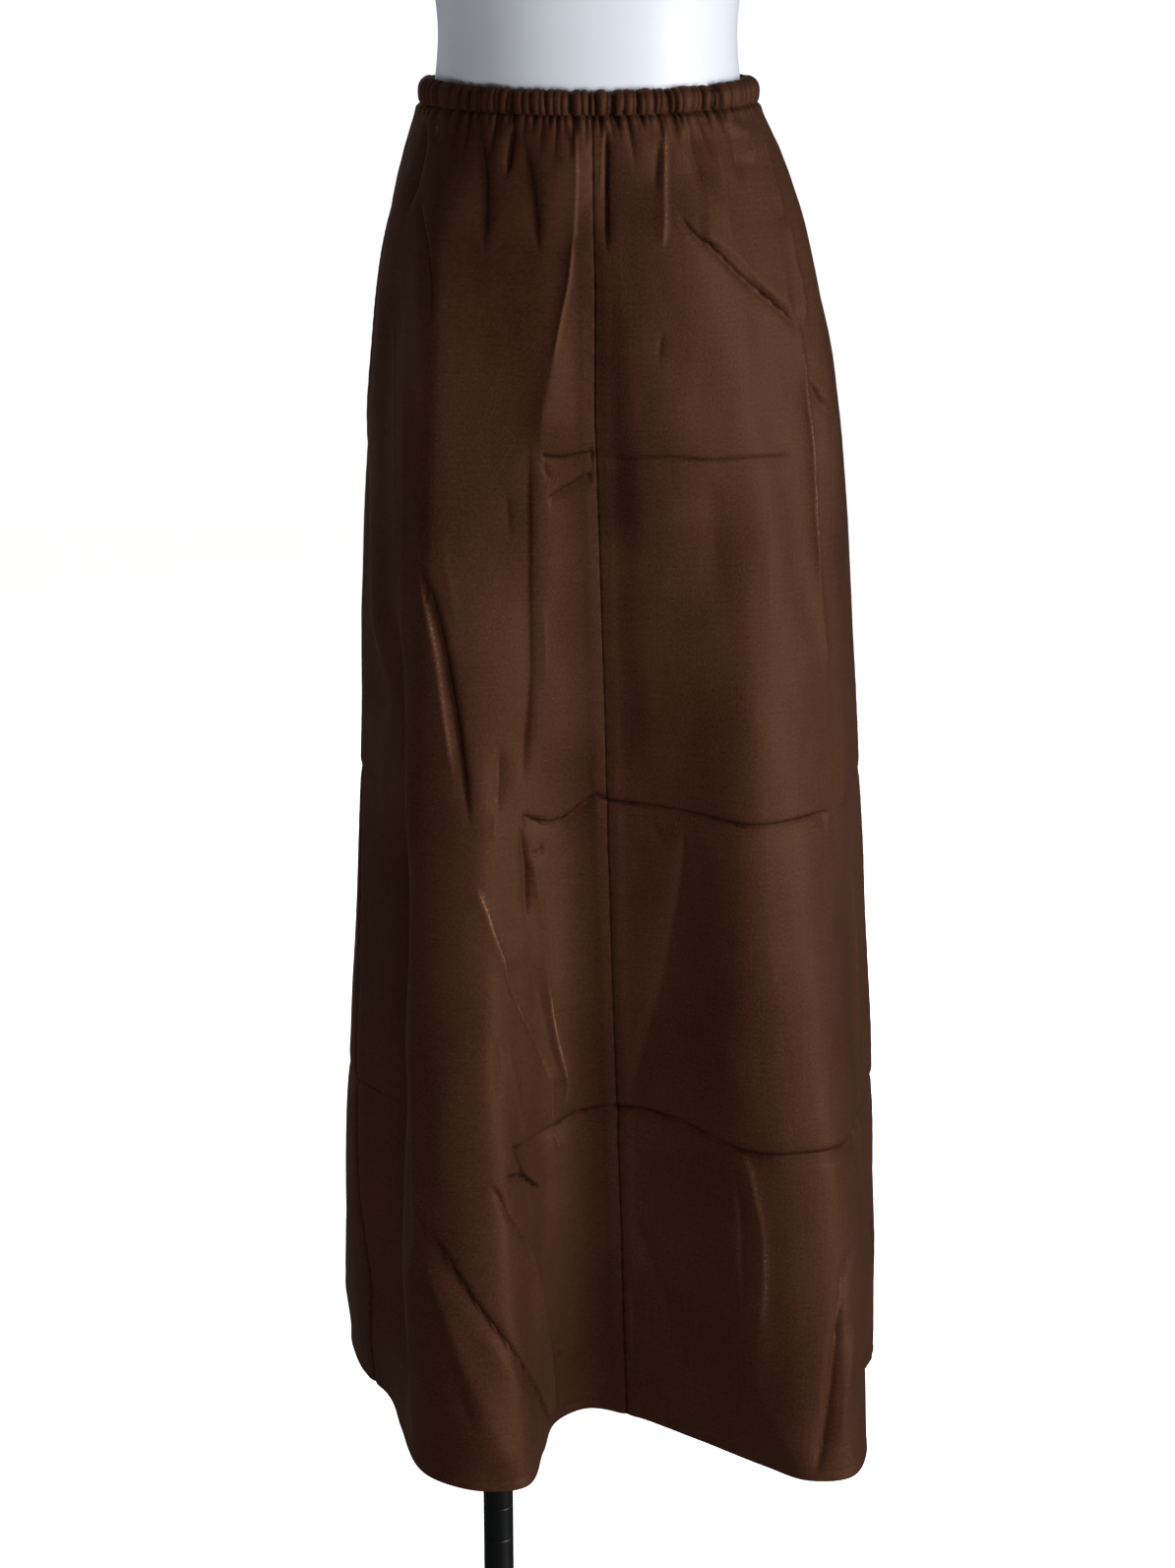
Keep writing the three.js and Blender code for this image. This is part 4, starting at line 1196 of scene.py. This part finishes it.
# %% Waistband
# up, share of the way from form to outside, how much the nips move it out and up
BAND_CUT = np.array([
    (0.0, 0.84, 0.9, 0), (0.8, 0.90, 0.95, 0), (2.2, 0.97, 1.0, 0), (4.5, 1.03, 1.0, 0), (7.5, 1.06, 1.0, 0),
    (10.5, 1.05, 1.0, 0), (13.2, 0.99, 1.0, 0.1), (15.4, 0.88, 0.95, 0.35), (17.0, 0.73, 0.8, 0.6),
    (17.9, 0.56, 0.55, 0.75), (18.0, 0.38, 0.3, 0.7), (17.2, 0.20, 0.12, 0.4), (15.4, 0.06, 0.03, 0.1),
    (12.5, 0.0, 0.0, 0), (7.0, 0.0, 0.0, 0), (0.0, 0.0, 0.0, 0),
])
FORM_CLEARANCE = 0.4
BAND_COLUMNS = 1260
BAND_WALL = 1.0
# From the form to the casing's outside, halfway up and on average
MEAN_GAP = 9.5
# The strip's length before the elastic gathers it, for the weave's scale
STRIP_LENGTH = 900.0


def band_rings():
    """The outer side's rings, their outward directions and the nips at each, from the stitch line up."""
    turn = 2 * np.pi * np.arange(BAND_COLUMNS) / BAND_COLUMNS
    line_shares = oval_share(turn)
    sine, cosine = np.sin(turn), np.cos(turn)
    rise = side_rise(turn, np.zeros(1))[0]
    rings, directions, puffs = [], [], []
    for up, out, gathered, raised in BAND_CUT:
        half, front, behind = (
            reach + FORM_CLEARANCE for reach in section_at(FORM_SECTIONS, up - BAND_HEIGHT)[:3])
        near = np.stack([half * sine, -np.where(cosine > 0, front, behind) * cosine], axis=-1)
        left, right, front, behind = section_at(SECTIONS, BAND_HEIGHT - up)[:4]
        far = np.stack([np.where(sine > 0, right, left) * sine,
                        -np.where(cosine > 0, front, behind) * cosine], axis=-1)
        outward = far - near
        gap = np.linalg.norm(outward, axis=1)
        outward /= gap[:, None]
        puff = nip_lift(line_shares, up)
        across = near + outward * (gap * out + puff * gathered)[:, None]
        rings.append(np.column_stack([across, BAND_TOP - BAND_HEIGHT + up + puff * raised + rise]))
        directions.append(outward)
        puffs.append(puff)
    return np.array(rings), np.array(directions), np.array(puffs)


def waistband():
    outer, directions, puffs = band_rings()
    profile = np.column_stack([BAND_CUT[:, 1] * MEAN_GAP, BAND_CUT[:, 0]])
    along = np.gradient(profile, axis=0)
    along /= np.linalg.norm(along, axis=1)[:, None]
    into = np.column_stack([-along[:, 1], along[:, 0]]) * BAND_WALL
    inner = outer.copy()
    inner[..., :2] += directions * into[:, 0][:, None, None]
    inner[..., 2] += into[:, 1][:, None]
    loop = np.concatenate([outer, inner[::-1]])
    index = np.arange(len(loop) * BAND_COLUMNS).reshape(len(loop), BAND_COLUMNS)
    right, above = np.roll(index, -1, axis=1), np.roll(index, -1, axis=0)
    faces = quads(index, right, np.roll(above, -1, axis=1), above)
    steps = np.linalg.norm(np.diff(profile, axis=0), axis=1)
    run = np.concatenate([[0.0], np.cumsum(steps)])
    run = np.concatenate([run, run[::-1]])
    around = np.arange(BAND_COLUMNS) / BAND_COLUMNS * STRIP_LENGTH
    uv = np.stack(np.broadcast_arrays(around[None, :], run[:, None]), axis=-1) * MM
    piece = mesh_object("waistband_casing", loop.reshape(-1, 3), faces, satin, uv.reshape(-1, 2))
    # Painted shade in the satin's colour at the nips
    painted_shading = np.clip(puffs * PAINTED_SHADING["gathers"], -1.0, 0.0)
    store_painted_shading(piece, np.concatenate([painted_shading, painted_shading[::-1]]).ravel())
    print("waistband", triangles(piece), "triangles")
    return piece


casing = waistband()

# %% [markdown]
# ## Pole and base
#
# The pole is a steel tube with the joint line of its sliding part, and the base is a turned plate.
# Both come from one profile of radius and height, with small rounded edges.

# %% Stand
POLE = {"x": -75.0, "radius": 12.5, "joint_drops": (1197, 1167), "groove": 0.7, "half_height": 1.2}
BASE = {"radius": 180.0, "thickness": 8.0, "edge": 2.0, "foot_edge": 1.0}
SHARP_CORNER = 40.0


def turned(name, profile, segments, x):
    """A closed solid of revolution from (radius, height) pairs, both ends on the axis."""
    rings = [ring(x, radius, height, segments) for radius, height in profile[1:-1]]
    points = np.concatenate(rings + [[(x, 0, profile[0][1]), (x, 0, profile[-1][1])]])
    count = len(rings)
    faces, index = tube_faces(count, segments)
    right = np.roll(index, -1, axis=1)
    bottom, top = count * segments, count * segments + 1
    faces += [[bottom, int(b), int(a)] for a, b in zip(index[0], right[0])]
    faces += [[top, int(a), int(b)] for a, b in zip(index[-1], right[-1])]
    return mesh_object(name, points, faces, powder_coat)


def rounded(radius, height, edge, outward, steps=5):
    """A quarter round between a flat end and the side. outward is 1 above and -1 below."""
    angles = np.linspace(0, math.pi / 2, steps)
    return [
        (radius - edge + edge * math.cos(a), height + outward * edge * (math.sin(a) - 1))
        for a in angles]


def pole_profile():
    radius, foot = POLE["radius"], BASE["thickness"] + SOLID_GAP
    head = BAND_TOP + FORM_SECTIONS[0, 0] - SOLID_GAP
    profile = [(0, foot), (radius, foot)]
    for drop in POLE["joint_drops"]:
        height = BAND_TOP - drop
        for part in np.linspace(-1, 1, 7):
            dip = POLE["groove"] * math.cos(part * math.pi / 2)
            profile.append((radius - dip, height + part * POLE["half_height"]))
    return profile + [(radius, head), (0, head)]


base_edge = rounded(BASE["radius"], BASE["thickness"], BASE["edge"], 1)
base_foot = rounded(BASE["radius"], 0, BASE["foot_edge"], -1)[::-1]
stand_pole = turned("stand_pole", pole_profile(), 64, POLE["x"])
stand_base = turned("stand_base", [(0, 0), *base_foot, *base_edge, (0, BASE["thickness"])], 160, 0)
for piece in (stand_pole, stand_base):
    edges = piece.modifiers.new("sharp_corners", "EDGE_SPLIT")
    edges.split_angle = math.radians(SHARP_CORNER)
print("stand", triangles(stand_pole) + triangles(stand_base), "triangles")

# %% [markdown]
# ## Hem stitches
#
# A lockstitch holds the turned-up hem seven millimetres from the edge. From outside it is a row of
# short stitches with a needle hole between them, and each pulls into the cloth.

# %% Hem stitches
STITCH = {"length": 2.9, "spacing": 3.5, "width": 0.55, "height": 0.28, "sunk": 0.12}
# Places along a stitch, from end to end, and its share of the full size there
STITCH_TAPER = ((-1.0, 0.12), (-0.6, 0.8), (0.0, 1.0), (0.6, 0.8), (1.0, 0.12))
# up and out
STITCH_ROUND = ((-0.5, 0.0), (-0.32, 0.8), (0.0, 1.0), (0.32, 0.8), (0.5, 0.0))


def hem_stitches():
    drop = HEM_DROP - HEM_DEPTH
    line, lengths = hanging_line(drop)
    count = int(lengths[-1] / STITCH["spacing"])
    middle = (np.arange(count) + 0.5) / count
    clear = np.array([min(abs(share - seam) for seam in SEAM_SHARES) for share in middle]) * lengths[-1]
    middle = middle[clear > STITCH["spacing"]]
    half = STITCH["length"] / 2 / lengths[-1]
    centre, outward = [], []
    for part, _ in STITCH_TAPER:
        outer, normal, _, _ = skirt_surface(middle + part * half, np.array([drop]))
        centre.append(outer[0])
        outward.append(normal[0])
    points, faces = [], []
    cross = len(STITCH_ROUND)
    for stitch in range(len(middle)):
        start = len(points)
        for station, (_, size) in enumerate(STITCH_TAPER):
            for up, out in STITCH_ROUND:
                raised = STITCH["height"] * size * out - STITCH["sunk"]
                x, y = centre[station][stitch] + outward[station][stitch] * raised
                points.append((x, y, BAND_TOP - drop + STITCH["width"] * size * up))
        last = start + (len(STITCH_TAPER) - 1) * cross
        for ring in range(start, last, cross):
            for side in range(cross):
                a, b = ring + side, ring + (side + 1) % cross
                faces.append([a, a + cross, b + cross, b])
        faces.append(list(range(start, start + cross)))
        faces.append(list(range(last, last + cross))[::-1])
    piece = mesh_object("hem_stitches", points, faces, thread)
    print("hem stitches:", len(middle), "with", triangles(piece), "triangles")
    return piece


stitches = hem_stitches()

# %% [markdown]
# ## What each piece is
#
# The pieces take the places of the solids and stand still with them, and the stitches stand still
# with them too. Cut flat, a panel is a trapezoid, gathered to the waist: a front is a quarter of the
# hem wide, and the back is half of it. The casing is one strip.

REPLACED = (
    (casing, "waistband", "satin"),
    (front_right, "front_panel_right", "satin"),
    (back, "back_panel", "satin"),
    (front_left, "front_panel_left", "satin"),
    (form_body, "dress_form", "form_skin"),
    (stand_pole, "pole", "black_metal"),
    (stand_base, "base_plate", "black_metal"),
)
for piece, node, finish in REPLACED:
    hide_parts(node)
    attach(piece, "root")
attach(stitches, "root")

# %% [markdown]
# ## Studio
#
# The stand is on a pale sweep that runs from the floor up into the wall all round. Its own glow
# keeps it nearly white, and it is left out of the light on the cloth. That comes from a tall window
# to the front right, with a weak one beside it. Three fills soften it: a low one in front, one from
# the back left, and a pale one high behind. The fills leave no highlights of their own.

# %% Studio
# Metres, and the strength of its glow
SWEEP = {"inner_radius": 0.5, "floor_radius": 4.5, "bend": 3.0, "top": 6.0, "glow": 0.9}
SWEEP_SEGMENTS = 96


def studio_sweep():
    material, shader = new_material("pale_paper")
    set_node(material, shader, values={
        "Base Color": linear("fbfbfa"), "Roughness": 0.9, "Emission Color": linear("ffffff"),
        "Emission Strength": SWEEP["glow"],
    })
    floor, bend = SWEEP["floor_radius"], SWEEP["bend"]
    angles = np.linspace(0, math.pi / 2, 16)
    profile = [
        (SWEEP["inner_radius"], 0.0),
        *[(floor + bend * math.sin(a), bend * (1 - math.cos(a))) for a in angles],
        (floor + bend, SWEEP["top"]),
    ]
    points = np.concatenate([ring(0.0, radius, height, SWEEP_SEGMENTS) for radius, height in profile])
    index = np.arange(len(profile) * SWEEP_SEGMENTS).reshape(len(profile), SWEEP_SEGMENTS)
    right = np.roll(index, -1, axis=1)
    faces = quads(index[:-1], index[1:], right[1:], right[:-1])
    faces.append(index[0].tolist())
    sweep = mesh_object("studio_sweep", points / MM, faces, material)
    sweep.visible_diffuse = False
    sweep.visible_glossy = False
    return sweep


def soft_light(name, place, aim, size, power, colour, mirrored):
    data = bpy.data.lights.new(name, "AREA")
    data.shape = "RECTANGLE"
    data.size, data.size_y = size
    data.energy = power
    data.color = linear(colour)[:3]
    light = bpy.data.objects.new(name, data)
    scene.collection.objects.link(light)
    light.location = place
    light.visible_glossy = mirrored
    light.rotation_euler = (Vector(aim) - Vector(place)).to_track_quat("-Z", "Y").to_euler()
    return light


sweep = studio_sweep()
# name, place, aim, width and height, watts, colour, seen in highlights
LIGHTS = (
    ("window", (2.9, -1.7, 1.3), (0, 0, 0.6), (1.2, 2.4), 134.0, "fff8f0", True),
    ("side_window", (3.1, 0.6, 1.0), (0, 0, 0.7), (1.2, 2.2), 4.0, "ffe6d2", True),
    ("front_fill", (-0.3, -3.3, 0.4), (0, 0, 0.4), (2.0, 1.2), 58.0, "fff6ee", False),
    ("left_fill", (-2.6, 2.2, 1.2), (0, 0, 0.7), (1.6, 2.2), 34.0, "fff6ee", False),
    ("rear_fill", (-0.8, 2.8, 2.4), (0, 0, 0.8), (2.2, 2.2), 80.0, "f8f8ff", False),
)
lights = [soft_light(*row) for row in LIGHTS]

world = bpy.data.worlds.new("studio_air")
world.use_nodes = True
background = world.node_tree.nodes["Background"]
background.inputs["Color"].default_value = linear("f2f4f8")
background.inputs["Strength"].default_value = 0.05
scene.world = world
scene.view_settings.view_transform = "Standard"
scene.view_settings.look = "None"
print("lights:", len(lights))
